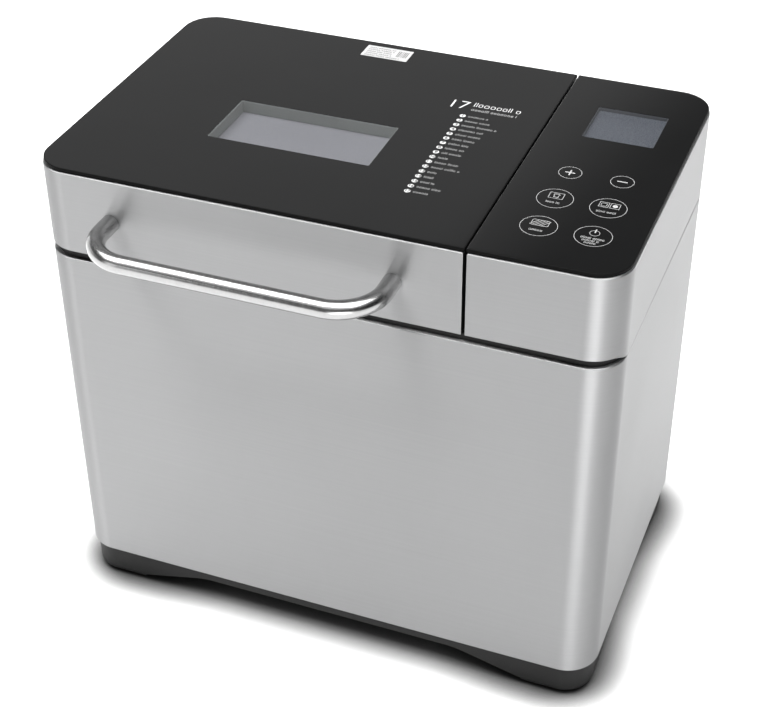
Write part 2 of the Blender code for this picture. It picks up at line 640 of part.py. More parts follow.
def make_spindle(spindle):
    """What turns in the floor of the pan: the short shaft and the wing that drives it."""
    rod("pan_shaft", (OVEN_X, 0, 0), SHAFT_RADIUS, 0.0833, 0.1180, "polished_steel", spindle,
        sides=20)
    wing_half, wing_reach, peg_x, peg_radius = 0.0035, 0.0165, 0.0125, 0.0030
    lean = math.asin((wing_half + peg_radius + 0.0004) / peg_x)
    across, along = (-math.sin(lean), math.cos(lean)), (math.cos(lean), math.sin(lean))
    corners = [(-wing_reach, -wing_half), (wing_reach, -wing_half), (wing_reach, wing_half),
               (-wing_reach, wing_half)]
    points = [(OVEN_X + a * along[0] + b * across[0], a * along[1] + b * across[1])
              for a, b in corners]
    wing = prism("pan_coupler", points, 0.0830, 0.0900, "galvanised", spindle)
    join(wing, rod("wing_hub", (OVEN_X, 0, 0), 0.0072, 0.0830, 0.0908, "galvanised", spindle,
                   sides=20))
    cut(wing, rod("wing_bore", (OVEN_X, 0, 0), BORE_RADIUS, 0.07, 0.10, "steel", spindle, sides=20))


def make_paddle(paddle):
    low, high = 0.1015, 0.1240
    hub = turned("kneading_paddle", (OVEN_X, 0, 0),
                 [(0.0120, low), (0.0120, low + 0.004), (0.0095, high - 0.002), (0.0080, high)],
                 False, "non_stick", paddle, sides=20)
    rings = []
    for reach, thick, height, swing in ((0.004, 0.0030, 0.018, 0.0), (0.015, 0.0028, 0.024, 0.0),
                                        (0.027, 0.0024, 0.030, 0.0015), (0.038, 0.0020, 0.031, 0.004),
                                        (PADDLE_REACH - 0.003, 0.0016, 0.024, 0.0075),
                                        (PADDLE_REACH - 0.001, 0.0012, 0.014, 0.0085)):
        x = OVEN_X + reach
        rings.append([(x, swing - thick, low), (x, swing + thick, low),
                      (x, swing + thick * 0.6, low + height),
                      (x, swing - thick * 0.6, low + height)])
    join(hub, loft("paddle_blade", rings, False, "non_stick", paddle))
    cut(hub, rod("paddle_bore", (OVEN_X, 0, 0), BORE_RADIUS + GAP, 0.09, 0.14, "steel", paddle,
                 sides=20))


# ---- drive --------------------------------------------------------------------------
def make_chassis(machine):
    """The bridge that carries the oven, and the bearing housing under it."""
    left, right, top, foot = OVEN_X - 0.100, OVEN_X + 0.100, OVEN_BOTTOM - GAP, PLATE_TOP + GAP
    points = [(left - 0.014, foot), (left + SHEET, foot), (left + SHEET, top - SHEET),
              (right - SHEET, top - SHEET), (right - SHEET, foot), (right + 0.014, foot),
              (right + 0.014, foot + SHEET), (right, foot + SHEET), (right, top), (left, top),
              (left, foot + SHEET), (left - 0.014, foot + SHEET)]
    bridge = prism("chassis_bridge", points, -0.066, 0.066, "galvanised", machine, "Y")
    cut(bridge, rod("bridge_hole", (OVEN_X, 0, 0), 0.010, 0.06, 0.08, "steel", machine, sides=20))
    cut(bridge, block("belt_slot", (right - 0.01, -0.050, BELT_BOTTOM - 0.006),
                      (right + 0.01, 0.050, BELT_TOP + 0.006), "steel", machine))
    flange_top = top - SHEET - GAP
    turned("bearing_housing", (OVEN_X, 0, 0),
           [(0.0093, 0.0490), (0.0130, 0.0490), (0.0150, flange_top - 0.0035),
            (0.0300, flange_top - 0.0035), (0.0300, flange_top), (0.0093, flange_top)],
           True, "galvanised", machine)
    turned("shaft_bearing", (OVEN_X, 0, 0),
           [(BORE_RADIUS, 0.0495), (0.0090, 0.0495), (0.0090, flange_top - 0.0005),
            (BORE_RADIUS, flange_top - 0.0005)], True, "bronze", machine, sides=20)


def belt_loop(inset):
    """Both wraps of the belt and the straight runs between them, at a radius over the seats."""
    large, small = LARGE_SEAT + GAP + inset, SMALL_SEAT + GAP + inset
    lean = math.acos((large - small) / (MOTOR_X - OVEN_X))
    points = []
    for step in range(25):
        turn = lean + (2 * math.pi - 2 * lean) * step / 24
        points.append((OVEN_X + large * math.cos(turn), large * math.sin(turn)))
    for step in range(11):
        turn = -lean + 2 * lean * step / 10
        points.append((MOTOR_X + small * math.cos(turn), small * math.sin(turn)))
    return points


def pulley_profile(seat):
    low, high, rim = BELT_BOTTOM - 0.0005, BELT_TOP + 0.0005, seat + 0.0022
    return [(seat, low), (rim, low), (rim, low - PULLEY_FLANGE)], \
           [(rim, high + PULLEY_FLANGE), (rim, high), (seat, high)]


def make_drive(machine, output, motor):
    make_chassis(machine)
    inner, outer = belt_loop(0), belt_loop(BELT_THICKNESS)
    rings = [[(x, y, BELT_BOTTOM) for x, y in outer], [(x, y, BELT_TOP) for x, y in outer],
             [(x, y, BELT_TOP) for x, y in inner], [(x, y, BELT_BOTTOM) for x, y in inner]]
    loft("drive_belt", rings, True, "rubber", machine)
    rod("drive_shaft", (OVEN_X, 0, 0), SHAFT_RADIUS, 0.0265, 0.0802, "polished_steel", output,
        sides=20)
    coupler = turned("drive_coupler", (OVEN_X, 0, 0),
                     [(BORE_RADIUS, 0.0775), (0.0170, 0.0775), (0.0170, 0.0805),
                      (BORE_RADIUS, 0.0805)], True, "galvanised", output)
    for side in (-1, 1):
        join(coupler, rod(f"peg_{side}", (OVEN_X + side * 0.0125, 0, 0), 0.0030, 0.0790, 0.0890,
                          "galvanised", output, sides=12))
    lower, upper = pulley_profile(LARGE_SEAT)
    web = 0.0460
    profile = lower + [(web, lower[-1][1]), (web, 0.0355), (0.0110, 0.0355), (0.0110, 0.0275),
                       (BORE_RADIUS, 0.0275), (BORE_RADIUS, 0.0470), (0.0110, 0.0470),
                       (0.0110, 0.0385), (web, 0.0385), (web, upper[0][1])] + upper
    turned("large_pulley", (OVEN_X, 0, 0), profile, True, "white_plastic", output, sides=30)
    lower, upper = pulley_profile(SMALL_SEAT)
    profile = lower + [(BORE_RADIUS, lower[-1][1]), (BORE_RADIUS, upper[0][1])] + upper
    turned("motor_pulley", (MOTOR_X, 0, 0), profile, True, "galvanised", motor, sides=20)
    turned("motor_rotor", (MOTOR_X, 0, 0),
           [(SHAFT_RADIUS, 0.0290), (SHAFT_RADIUS, STACK_BOTTOM - 0.002),
            (0.0210, STACK_BOTTOM - 0.002), (0.0210, STACK_TOP + 0.002),
            (SHAFT_RADIUS, STACK_TOP + 0.002), (SHAFT_RADIUS, FAN_TOP + 0.002)],
           False, "galvanised", motor, sides=20)
    make_fan(motor)
    make_motor(machine)


def make_fan(motor):
    points = []
    for blade in range(8):
        for turn, radius in ((0, 0.0095), (0, 0.0280), (7, 0.0280), (16, 0.0095)):
            angle = math.radians(45 * blade + turn)
            points.append((MOTOR_X + radius * math.cos(angle), radius * math.sin(angle)))
    fan = prism("motor_fan", points, FAN_BOTTOM, FAN_TOP, "white_plastic", motor)
    cut(fan, rod("fan_bore", (MOTOR_X, 0, 0), BORE_RADIUS, FAN_BOTTOM - 0.01, FAN_TOP + 0.01,
                 "steel", motor, sides=16))


def make_motor(machine):
    stack = walled("motor_stator", centred_plan(MOTOR_X, 0.038, 0.038, 0.010),
                   [(0, STACK_BOTTOM), (0, STACK_TOP)], False, "galvanised", machine)
    cut(stack, rod("stator_bore", (MOTOR_X, 0, 0), 0.0215, STACK_BOTTOM - 0.01, STACK_TOP + 0.01,
                   "steel", machine))
    wall, floor = 0.0020, 0.0018
    for word, edge, face in (("lower", STACK_BOTTOM - GAP, SHELF_TOP + GAP),
                             ("upper", STACK_TOP + GAP, FAN_BOTTOM - 0.003)):
        inside = face + math.copysign(floor, edge - face)
        turned(f"motor_end_{word}", (MOTOR_X, 0, 0),
               [(BORE_RADIUS, face), (0.0375, face), (0.0375, edge), (0.0375 - wall, edge),
                (0.0375 - wall, inside), (BORE_RADIUS, inside)], True, "galvanised", machine)
    foot, half, toe = PLATE_TOP + GAP, 0.050, 0.012
    points = [(-half - toe, foot), (-half + SHEET, foot), (-half + SHEET, SHELF_TOP - SHEET),
              (half - SHEET, SHELF_TOP - SHEET), (half - SHEET, foot), (half + toe, foot),
              (half + toe, foot + SHEET), (half, foot + SHEET), (half, SHELF_TOP),
              (-half, SHELF_TOP), (-half, foot + SHEET), (-half - toe, foot + SHEET)]
    bracket = prism("motor_bracket", points, MOTOR_X - 0.042, MOTOR_X + 0.042, "galvanised",
                    machine, "X")
    cut(bracket, rod("bracket_hole", (MOTOR_X, 0, 0), 0.0150, 0.05, 0.06, "steel", machine,
                     sides=20))
    turned("motor_capacitor", (0.158, -0.086, 0),
           [(0.0130, foot), (0.0130, 0.070), (0.0110, 0.072)], False, "white_plastic", machine,
           sides=20)


def make_electrics(machine):
    """The heat shield beside the oven and the power board that stands against it."""
    face, low, high = 0.076, 0.050, DECK_UNDER - 0.002
    points = [(face, low), (face + SHEET, low), (face + SHEET, high - SHEET),
              (face + 0.012, high - SHEET), (face + 0.012, high), (face, high)]
    prism("heat_shield", points, -0.096, 0.096, "galvanised", machine, "Y")
    board_x = face + 0.006
    board = block("power_board", (board_x, -0.066, 0.150), (board_x + 0.0016, 0.066, 0.238),
                  "circuit", machine)
    for index, (y, z, half_y, half_z, tall) in enumerate((
            (-0.036, 0.196, 0.018, 0.015, 0.026), (0.012, 0.214, 0.010, 0.008, 0.016),
            (0.040, 0.214, 0.010, 0.008, 0.016), (0.026, 0.174, 0.022, 0.012, 0.008))):
        join(board, block(f"board_part_{index}", (board_x + 0.0008, y - half_y, z - half_z),
                          (board_x + tall, y + half_y, z + half_z), "circuit", machine))


# ---- the whole machine --------------------------------------------------------------
def build():
    clear_scene()
    machine = pivot("machine", None, (0, 0, 0))
    lid = pivot("lid_axis", machine, (OVEN_X, HINGE_Y, HINGE_Z))
    pan = pivot("pan_axis", machine, (OVEN_X, 0, PAN_BOTTOM))
    bail = pivot("bail_axis", pan, (OVEN_X, 0, BAIL_PIVOT_Z))
    spindle = pivot("spindle_axis", pan, (OVEN_X, 0, PAN_BOTTOM))
    paddle = pivot("paddle_axis", spindle, (OVEN_X, 0, PAN_BOTTOM))
    output = pivot("output_axis", machine, (OVEN_X, 0, BELT_BOTTOM))
    motor = pivot("motor_axis", machine, (MOTOR_X, 0, BELT_BOTTOM))
    make_base(machine)
    make_shell(machine)
    make_deck(machine)
    make_hinge_brackets(machine)
    make_panel(machine)
    make_lid(lid)
    make_oven(machine)
    make_pan(pan)
    make_bail(bail)
    make_spindle(spindle)
    make_paddle(paddle)
    make_drive(machine, output, motor)
    make_electrics(machine)
    machine.location = (0, BODY_Y, 0)
    bpy.context.view_layer.update()


build()
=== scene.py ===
"""Looks of the bread machine: brushed shells, printed glass, handle, base and oven pieces.

Metres, +Z up. Shapes are drawn in the casing's own plan, with x and y measured from its middle;
MID_Y is where that middle lies in the frame. Sizes come from the frame's boxes and from the
named values below.
"""
import json
import math
import random

import bmesh
import bpy
from mathutils import Matrix, Vector


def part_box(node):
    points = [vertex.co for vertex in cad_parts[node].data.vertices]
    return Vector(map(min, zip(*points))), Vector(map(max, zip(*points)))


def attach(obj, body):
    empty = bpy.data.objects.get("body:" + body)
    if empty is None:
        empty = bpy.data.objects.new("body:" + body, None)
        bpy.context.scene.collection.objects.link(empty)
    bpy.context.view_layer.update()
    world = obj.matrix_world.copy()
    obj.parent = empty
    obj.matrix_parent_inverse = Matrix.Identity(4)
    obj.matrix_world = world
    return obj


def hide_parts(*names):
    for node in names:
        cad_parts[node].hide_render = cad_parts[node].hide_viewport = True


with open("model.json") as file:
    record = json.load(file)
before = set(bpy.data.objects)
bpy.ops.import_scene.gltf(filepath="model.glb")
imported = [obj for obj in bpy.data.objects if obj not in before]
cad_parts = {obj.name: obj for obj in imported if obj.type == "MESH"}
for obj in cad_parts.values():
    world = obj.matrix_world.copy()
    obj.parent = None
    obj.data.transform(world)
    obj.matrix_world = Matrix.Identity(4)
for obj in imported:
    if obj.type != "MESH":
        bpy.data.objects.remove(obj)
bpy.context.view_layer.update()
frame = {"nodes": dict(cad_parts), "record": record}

# ---- sizes --------------------------------------------------------------------------
GAP = 0.0003                    # between pieces that touch
SHEET = 0.0008                  # steel sheet
EDGE = 0.0003                   # break of a cut edge
CORNER = 0.0222                 # upright corners of the casing
SMALL_CORNER = 0.0004           # upright corners beside the slot between lid and panel
CORNER_STEPS = 16
TIGHT_CORNER = 0.004            # a smaller corner needs only SMALL_STEPS
SMALL_STEPS = 4
BEYOND = 0.01                   # a cutting tool reaches this far past what it cuts
AXIS = 0.0001                   # radius at which a turned piece closes on its axis
PRINT = 0.00003                 # thickness of the printing on the glass
LIP = 0.0004                    # steel edge left bare round the glass
OVERHANG = 0.0005               # the two glasses reach this far over the slot between them
SEAM = 0.0009                   # what is left of the seam on the right side
LENS = 0.0004                   # thickness of the clear skin over the window and the display
PRINT_ROOM = 0.00015            # the glass is lowered this much, so that print stays in the box
PRINT_LIFT = 0.00001            # between the glass and what is printed on it
OVEN_CORNER, PAN_CORNER = 0.028, 0.026
CLEAR_CORNER = 0.001            # corners of the window and the display
WELL_WALL = 0.0035              # of the window's frame
BEZEL_X, BEZEL_Y = 0.004, 0.003  # of the display, beside and above its face

SHELL_LOW, SHELL_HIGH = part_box("body_shell")
MID_Y = (SHELL_LOW.y + SHELL_HIGH.y) / 2


def plan_box(node):
    """The lowest and highest corners of a CAD node, measured from the casing's middle."""
    low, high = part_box(node)
    return low - Vector((0, MID_Y, 0)), high - Vector((0, MID_Y, 0))


def middle_of(node):
    low, high = plan_box(node)
    return (low + high) / 2


LEFT, RIGHT = SHELL_LOW.x, SHELL_HIGH.x
FRONT, BACK = SHELL_LOW.y - MID_Y, SHELL_HIGH.y - MID_Y
SHELL_BOTTOM, SHELL_TOP = SHELL_LOW.z, SHELL_HIGH.z
BAND_BOTTOM, BAND_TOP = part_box("lid_band")[0].z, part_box("lid_band")[1].z
LID_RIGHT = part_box("lid_band")[1].x
PANEL_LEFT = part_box("panel_band")[0].x
GLASS_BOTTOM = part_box("lid_glass")[0].z
GLASS_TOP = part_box("lid_glass")[1].z - PRINT_ROOM
GLASS_INSET = plan_box("lid_glass")[0].x - LEFT


# ---- outlines -----------------------------------------------------------------------
def plan(x0, x1, y0, y1, radii):
    """A rectangle with a radius at its front-right, back-right, back-left and front-left."""
    if isinstance(radii, float):
        radii = (radii,) * 4
    return x0, x1, y0, y1, radii


def plan_of(node, radii, inset_x=0.0, inset_y=None):
    """The rounded rectangle that bounds a CAD node, or lies this far inside it."""
    low, high = plan_box(node)
    inset_y = inset_x if inset_y is None else inset_y
    return plan(low.x + inset_x, high.x - inset_x, low.y + inset_y, high.y - inset_y, radii)


def outline(shape, inset, z):
    x0, x1, y0, y1, radii = shape
    x0, x1, y0, y1 = x0 + inset, x1 - inset, y0 + inset, y1 - inset
    corners = ((x1, y0, 1, -1), (x1, y1, 1, 1), (x0, y1, -1, 1), (x0, y0, -1, -1))
    points = []
    for index, (x, y, side_x, side_y) in enumerate(corners):
        radius = max(radii[index] - inset, GAP)
        steps = CORNER_STEPS if radii[index] > TIGHT_CORNER else SMALL_STEPS
        for step in range(steps + 1):
            turn = math.radians(90 * (index - 1 + step / steps))
            points.append((x - side_x * radius + radius * math.cos(turn),
                           y - side_y * radius + radius * math.sin(turn), z))
    return points


def arc(before, corner, after, radius, steps):
    """The points that replace a corner between two straight runs, at this radius."""
    arrive, leave = (corner - before).normalized(), (after - corner).normalized()
    half = arrive.angle(leave) / 2
    middle = corner + (leave - arrive).normalized() * radius / math.cos(half)
    first = corner - arrive * radius * math.tan(half) - middle
    axis = arrive.cross(leave).normalized()
    return [middle + Matrix.Rotation(2 * half * step / steps, 3, axis) @ first
            for step in range(steps + 1)]


def rounded(corners, steps=5):
    """A flat section from (a, b, radius) corners, each replaced by an arc of that radius."""
    points, places = [], [Vector((a, b, 0)) for a, b, _ in corners]
    for index, (corner, (_, _, radius)) in enumerate(zip(places, corners)):
        after = places[(index + 1) % len(places)]
        points += arc(places[index - 1], corner, after, radius, steps) if radius else [corner]
    return [point.xy for point in points]


def circle(x, y, radius, steps=48):
    turns = [2 * math.pi * step / steps for step in range(steps)]
    return [(x + radius * math.cos(turn), y + radius * math.sin(turn)) for turn in turns]


def bar_outline(x0, x1, y0, y1):
    return [(x0, y0), (x1, y0), (x1, y1), (x0, y1)]


def rounded_path(corners, radii, steps):
    """Straight runs between corners, each corner replaced by an arc of its own radius."""
    corners = [Vector(corner) for corner in corners]
    path = [corners[0]]
    for before, corner, after, radius in zip(corners, corners[1:], corners[2:], radii):
        path += arc(before, corner, after, radius, steps)
    return path + [corners[-1]]


# ---- solids -------------------------------------------------------------------------
def item_from(name, mesh):
    """A smooth object from a finished bmesh drawn in the casing's plan."""
    bmesh.ops.recalc_face_normals(mesh, faces=mesh.faces)
    bmesh.ops.translate(mesh, verts=mesh.verts, vec=(0, MID_Y, 0))
    data = bpy.data.meshes.new(name)
    mesh.to_mesh(data)
    mesh.free()
    item = bpy.data.objects.new(name, data)
    bpy.context.scene.collection.objects.link(item)
    return item


def add_loft(mesh, rings, closed):
    """Skins equal rings of points: round and round when closed, capped at both ends if not."""
    rows = [[mesh.verts.new(point) for point in ring] for ring in rings]
    pairs = list(zip(rows, rows[1:]))
    if closed:
        pairs.append((rows[-1], rows[0]))
    else:
        mesh.faces.new(reversed(rows[0]))
        mesh.faces.new(rows[-1])
    for lower, upper in pairs:
        for i in range(len(lower)):
            j = (i + 1) % len(lower)
            mesh.faces.new((lower[i], lower[j], upper[j], upper[i]))


def loft(name, rings, closed):
    mesh = bmesh.new()
    add_loft(mesh, rings, closed)
    return item_from(name, mesh)


def walled(name, shape, section, closed=False):
    """A piece whose section, (inset, z) points, runs round a rounded rectangle."""
    return loft(name, [outline(shape, inset, z) for inset, z in section], closed)


def turned(name, centre, profile, closed=False, axis="Z", sides=48):
    """A turned piece: profile is (radius, distance along the axis) from the centre."""
    spin = {"X": Matrix.Rotation(math.pi / 2, 3, "Y"),
            "Y": Matrix.Rotation(-math.pi / 2, 3, "X"),
            "Z": Matrix.Identity(3)}[axis]
    rings = [[spin @ Vector((x, y, along)) + Vector(centre)
              for x, y in circle(0, 0, radius, sides)] for radius, along in profile]
    return loft(name, rings, closed)


def drill(name, centre, radius, through, axis="Z", sides=48):
    """A round tool for a hole through a sheet that lies there along the axis."""
    return turned(name, centre, [(radius, through - BEYOND), (radius, through + BEYOND)],
                  axis=axis, sides=sides)


def prism(name, points, low, high, axis="Z"):
    """A flat outline pushed along an axis; points are the other two coordinates, in XYZ order."""
    def place(a, b, along):
        return {"X": (along, a, b), "Y": (a, along, b), "Z": (a, b, along)}[axis]
    return loft(name, [[place(a, b, along) for a, b in points] for along in (low, high)], False)


def swept(name, path, radius, sides):
    """A round bar along a path, its section carried along without twist."""
    across = (Vector(path[1]) - Vector(path[0])).orthogonal().normalized()
    rings = []
    for index, point in enumerate(path):
        tangent = (Vector(path[min(index + 1, len(path) - 1)])
                   - Vector(path[max(index - 1, 0)])).normalized()
        across = (across - tangent * across.dot(tangent)).normalized()
        other = tangent.cross(across)
        rings.append([Vector(point) + across * x + other * y
                      for x, y in circle(0, 0, radius, sides)])
    return loft(name, rings, False)


def carve(item, tools, operation="DIFFERENCE"):
    """Cuts the tools out of a piece, or joins them to it, for good."""
    for tool in tools:
        modifier = item.modifiers.new(tool.name, "BOOLEAN")
        modifier.operation = operation
        modifier.solver = "EXACT"
        modifier.object = tool
    graph = bpy.context.evaluated_depsgraph_get()
    made = bpy.data.meshes.new_from_object(item.evaluated_get(graph))
    item.modifiers.clear()
    item.data = made
    for tool in tools:
        bpy.data.objects.remove(tool, do_unlink=True)
    return item


def dress(item, body, surface, slot, *replaced):
    """Shades a piece, gives it its surface, and puts it on its body in place of CAD nodes."""
    for made in (surface if isinstance(surface, tuple) else (surface,)):
        item.data.materials.append(made)
    item.data.shade_smooth()
    item.data.set_sharp_from_angle(angle=math.radians(32))
    normals = item.modifiers.new("flat_faces_stay_flat", "WEIGHTED_NORMAL")
    normals.keep_sharp = True
    normals.weight = 100
    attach(item, body)
    if replaced:
        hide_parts(*replaced)
    return item


# ---- surfaces -----------------------------------------------------------------------
def add_node(tree, kind, inputs=(), **settings):
    """A shader node, its inputs linked to other nodes' outputs or given plain values."""
    made = tree.nodes.new(kind)
    for key, value in settings.items():
        setattr(made, key, value)
    for key, value in dict(inputs).items():
        if isinstance(value, bpy.types.NodeSocket):
            tree.links.new(value, made.inputs[key])
        else:
            made.inputs[key].default_value = value
    return made


class Surface:
    """A procedural material: plain values go on the shader, patterns are wired by the methods."""

    def __init__(self, name, **plain):
        self.made = bpy.data.materials.new(name)
        self.made.use_nodes = True
        self.tree = self.made.node_tree
        self.shader = self.tree.nodes["Principled BSDF"]
        self.place = self.tree.nodes.new("ShaderNodeTexCoord").outputs["Object"]
        for words, value in plain.items():
            socket = " ".join(word if word == "IOR" else word.title() for word in words.split("_"))
            self.shader.inputs[socket].default_value = value

    def node(self, kind, inputs=(), **settings):
        return add_node(self.tree, kind, inputs, **settings)

    def noise(self, stretch, detail=3.0, roughness=0.5):
        """Fine where stretch is large: one number, or one for each axis."""
        stretch = stretch if isinstance(stretch, tuple) else (stretch,) * 3
        scaled = self.node("ShaderNodeMapping", {"Vector": self.place, "Scale": stretch})
        return self.node("ShaderNodeTexNoise", {
            "Vector": scaled.outputs[0], "Scale": 1.0, "Detail": detail,
            "Roughness": roughness}).outputs["Fac"]

    def cells(self, scale):
        made = self.node("ShaderNodeTexVoronoi", {"Vector": self.place, "Scale": scale})
        return made.outputs["Distance"]

    def between(self, factor, low, high, start=0.3, end=0.7):
        return self.node("ShaderNodeMapRange", {
            "Value": factor, "From Min": start, "From Max": end, "To Min": low,
            "To Max": high}).outputs[0]

    def colour(self, factor, first, second, start=0.3, end=0.7):
        ramp = self.node("ShaderNodeValToRGB", {"Fac": factor})
        stops = ((start, first), (end, second))
        for element, (position, shade) in zip(ramp.color_ramp.elements, stops):
            element.position, element.color = position, (*shade, 1.0)
        return ramp.outputs["Color"]

    def feed(self, socket, source):
        self.tree.links.new(source, self.shader.inputs[socket])

    def bump(self, height, distance, strength=1.0):
        made = self.node("ShaderNodeBump", {
            "Height": height, "Distance": distance, "Strength": strength})
        self.feed("Normal", made.outputs["Normal"])


def grey(value, tint=0.0):
    """A neutral shade, a little bluer when tint is above nought."""
    return value * (1 - tint), value * (1 - tint * 0.3), value * (1 + tint)


def patterned(name, tone, shades, rough, grain=None, bump=0.0, ends=(0.3, 0.7), **plain):
    """Colour follows one pattern; gloss and bump follow another where grain names one."""
    made = Surface(name, **plain)
    tone = getattr(made, tone[0])(*tone[1:])
    grain = getattr(made, grain[0])(*grain[1:]) if grain else tone
    made.feed("Base Color", made.colour(tone, *shades, *ends))
    made.feed("Roughness", made.between(grain, *rough))
    if bump:
        made.bump(grain, bump)
    return made.made


def brushed_steel():
    """Stainless sheet brushed level: fine lines that run round the machine."""
    made = Surface("brushed_steel", Metallic=1.0, Anisotropic=0.95, Anisotropic_Rotation=0.25)
    lines = made.noise((6, 6, 900), 6.0, 0.65)
    clouds = made.noise(5, 2.0)
    made.feed("Base Color", made.colour(lines, grey(0.313, 0.006), grey(0.337, 0.006), 0.25, 0.75))
    streaks = made.between(lines, 0.43, 0.48)
    drift = made.between(clouds, -0.02, 0.02)
    mixed = made.node("ShaderNodeMath", {0: streaks, 1: drift}, operation="ADD")
    made.feed("Roughness", mixed.outputs[0])
    tangent = made.node("ShaderNodeTangent", direction_type="RADIAL", axis="Z")
    made.feed("Tangent", tangent.outputs[0])
    made.bump(lines, 0.000003)
    return made.made


def galvanised_sheet():
    """Aluminised sheet of the oven and the chassis: dull, with soft spangle."""
    made = Surface("galvanised_sheet", Metallic=1.0)
    spangle = made.cells(190)
    haze = made.noise(26, 5.0, 0.6)
    both = made.node("ShaderNodeMath", {0: spangle, 1: haze}, operation="MULTIPLY")
    shade = made.colour(both.outputs[0], grey(0.34, 0.01), grey(0.46, 0.01), 0.1, 0.6)
    made.feed("Base Color", shade)
    made.feed("Roughness", made.between(haze, 0.34, 0.50))
    made.bump(haze, 0.00004)
    return made.made


def moulded_plastic(name, dark, light, rough=0.46, grain=900, shine=0.5):
    """Injection-moulded plastic with a fine spark-eroded grain."""
    made = Surface(name, IOR=1.46, Specular_IOR_Level=shine)
    texture = made.cells(grain)
    drift = made.noise(12, 3.0)
    made.feed("Base Color", made.colour(drift, dark, light))
    made.feed("Roughness", made.between(drift, rough - 0.05, rough + 0.05))
    made.bump(texture, 0.00005, 0.6)
    return made.made


def clear_glass(name, tint):
    """An unprinted part of the glass: seen through, with the same gloss as the rest."""
    made = Surface(name)
    smears = made.noise((9, 14, 9), 4.0, 0.6)
    through = made.node("ShaderNodeBsdfTransparent", {"Color": (*tint, 1.0)})
    gloss = made.node("ShaderNodeBsdfGlossy", {"Color": (1, 1, 1, 1),
                                               "Roughness": made.between(smears, 0.02, 0.06)})
    slant = made.node("ShaderNodeLayerWeight", {"Blend": 0.5})
    steep = made.node("ShaderNodeMath", {0: slant.outputs["Facing"], 1: 5.0}, operation="POWER")
    share = made.node("ShaderNodeMath", {0: steep.outputs[0], 1: 0.96, 2: 0.03},
                      operation="MULTIPLY_ADD")
    mixed = made.node("ShaderNodeMixShader", {0: share.outputs[0], 1: through.outputs[0],
                                              2: gloss.outputs[0]})
    made.tree.nodes.remove(made.shader)
    output = made.tree.nodes["Material Output"]
    made.tree.links.new(mixed.outputs[0], output.inputs["Surface"])
    return made.made


def ink(name, dark, light):
    """Screen-printed ink."""
    return patterned(name, ("noise", 1300, 2.0), (grey(dark), grey(light)),
                     (0.35, 0.5), IOR=1.45)


def circuit_board():
    """Green board and its parts, with the mottling of copper under the lacquer."""
    made = Surface("circuit_board", IOR=1.5)
    tracks = made.node("ShaderNodeTexBrick", {
        "Vector": made.place, "Scale": 160.0, "Mortar Size": 0.035,
        "Color1": (0.012, 0.10, 0.04, 1), "Color2": (0.016, 0.13, 0.05, 1),
        "Mortar": (0.035, 0.20, 0.07, 1)})
    grain = made.noise(300, 3.0)
    made.feed("Base Color", tracks.outputs["Color"])
    made.feed("Roughness", made.between(grain, 0.32, 0.50))
    made.bump(grain, 0.00002)
    return made.made


CONTACT_SHADOW_REACH = 0.026                 # painted contact shadow: the floor's colour darkens this near to the machine
CONTACT_SHADOW_POWER = 3.8


def floor_paint():
    """Pale paper floor, its colour darkened where the machine stands close over it: a painted
    contact shadow.
    """
    made = Surface("floor_paint", Specular_IOR_Level=0.15)
    grain = made.noise(40, 4.0)
    paper = made.colour(grain, grey(0.895), grey(0.905))
    openness = made.node("ShaderNodeAmbientOcclusion", {"Distance": CONTACT_SHADOW_REACH}, samples=16)
    made.tree.links.new(paper, openness.inputs["Color"])
    contact_shadow = made.node("ShaderNodeMath", {0: openness.outputs["AO"], 1: CONTACT_SHADOW_POWER},
                        operation="POWER").outputs[0]
    # painted shadow: near the machine the paper colour gives way to near-black
    shaded = made.node("ShaderNodeMix", {"Factor": contact_shadow, "A": (*grey(0.01), 1.0), "B": paper},
                       data_type="RGBA").outputs["Result"]
    made.feed("Base Color", shaded)
    made.feed("Roughness", made.between(grain, 0.80, 0.92))
    return made.made


BRUSHED = brushed_steel()
GALVANISED = galvanised_sheet()
CIRCUIT = circuit_board()
# Polished stainless bar and wire, with faint polishing marks.
SATIN = patterned("satin_steel", ("noise", (420, 60, 420), 4.0), (grey(0.34), grey(0.38)),
                  (0.19, 0.25), bump=0.000008, Metallic=1.0)
BLACK_PLASTIC = moulded_plastic("moulded_black", grey(0.010), grey(0.014), shine=0.22)
SEAM_PLASTIC = moulded_plastic("moulded_black_fine", grey(0.004), grey(0.006), 0.5, 1400, 0.2)
GREY_PLASTIC = moulded_plastic("moulded_grey", (0.205, 0.220, 0.207), (0.245, 0.262, 0.247),
                               0.5, 1400)
WHITE_PLASTIC = moulded_plastic("moulded_white", (0.66, 0.66, 0.62), (0.74, 0.74, 0.70))
DISPLAY_RIM = moulded_plastic("display_rim", grey(0.085, 0.03), grey(0.095, 0.03), 0.5, 1400)
# Toughened glass printed black from behind, with a trace of handling marks.
BLACK_GLASS = patterned("black_glass", ("noise", (7, 11, 7), 5.0, 0.65),
                        (grey(0.0034, 0.02), grey(0.0044, 0.02)), (0.025, 0.06), IOR=1.5)
# The ground and polished rim of the glass.
GLASS_EDGE = patterned("glass_edge", ("noise", 300, 3.0),
                       (grey(0.002), grey(0.004)), (0.45, 0.60), IOR=1.5,
                       Specular_IOR_Level=0.04)
WINDOW_GLASS = clear_glass("window_clear", (0.92, 0.92, 0.93))
DISPLAY_GLASS = clear_glass("display_clear", (0.90, 0.91, 0.93))
# Etched inner pane of the window: an even pale grey.
FROSTED = patterned("frosted_pane", ("noise", (10, 16, 10), 2.0),
                    ((0.148, 0.150, 0.158), (0.162, 0.165, 0.174)), (0.40, 0.55),
                    grain=("noise", 700, 2.0), bump=0.00002, IOR=1.45)
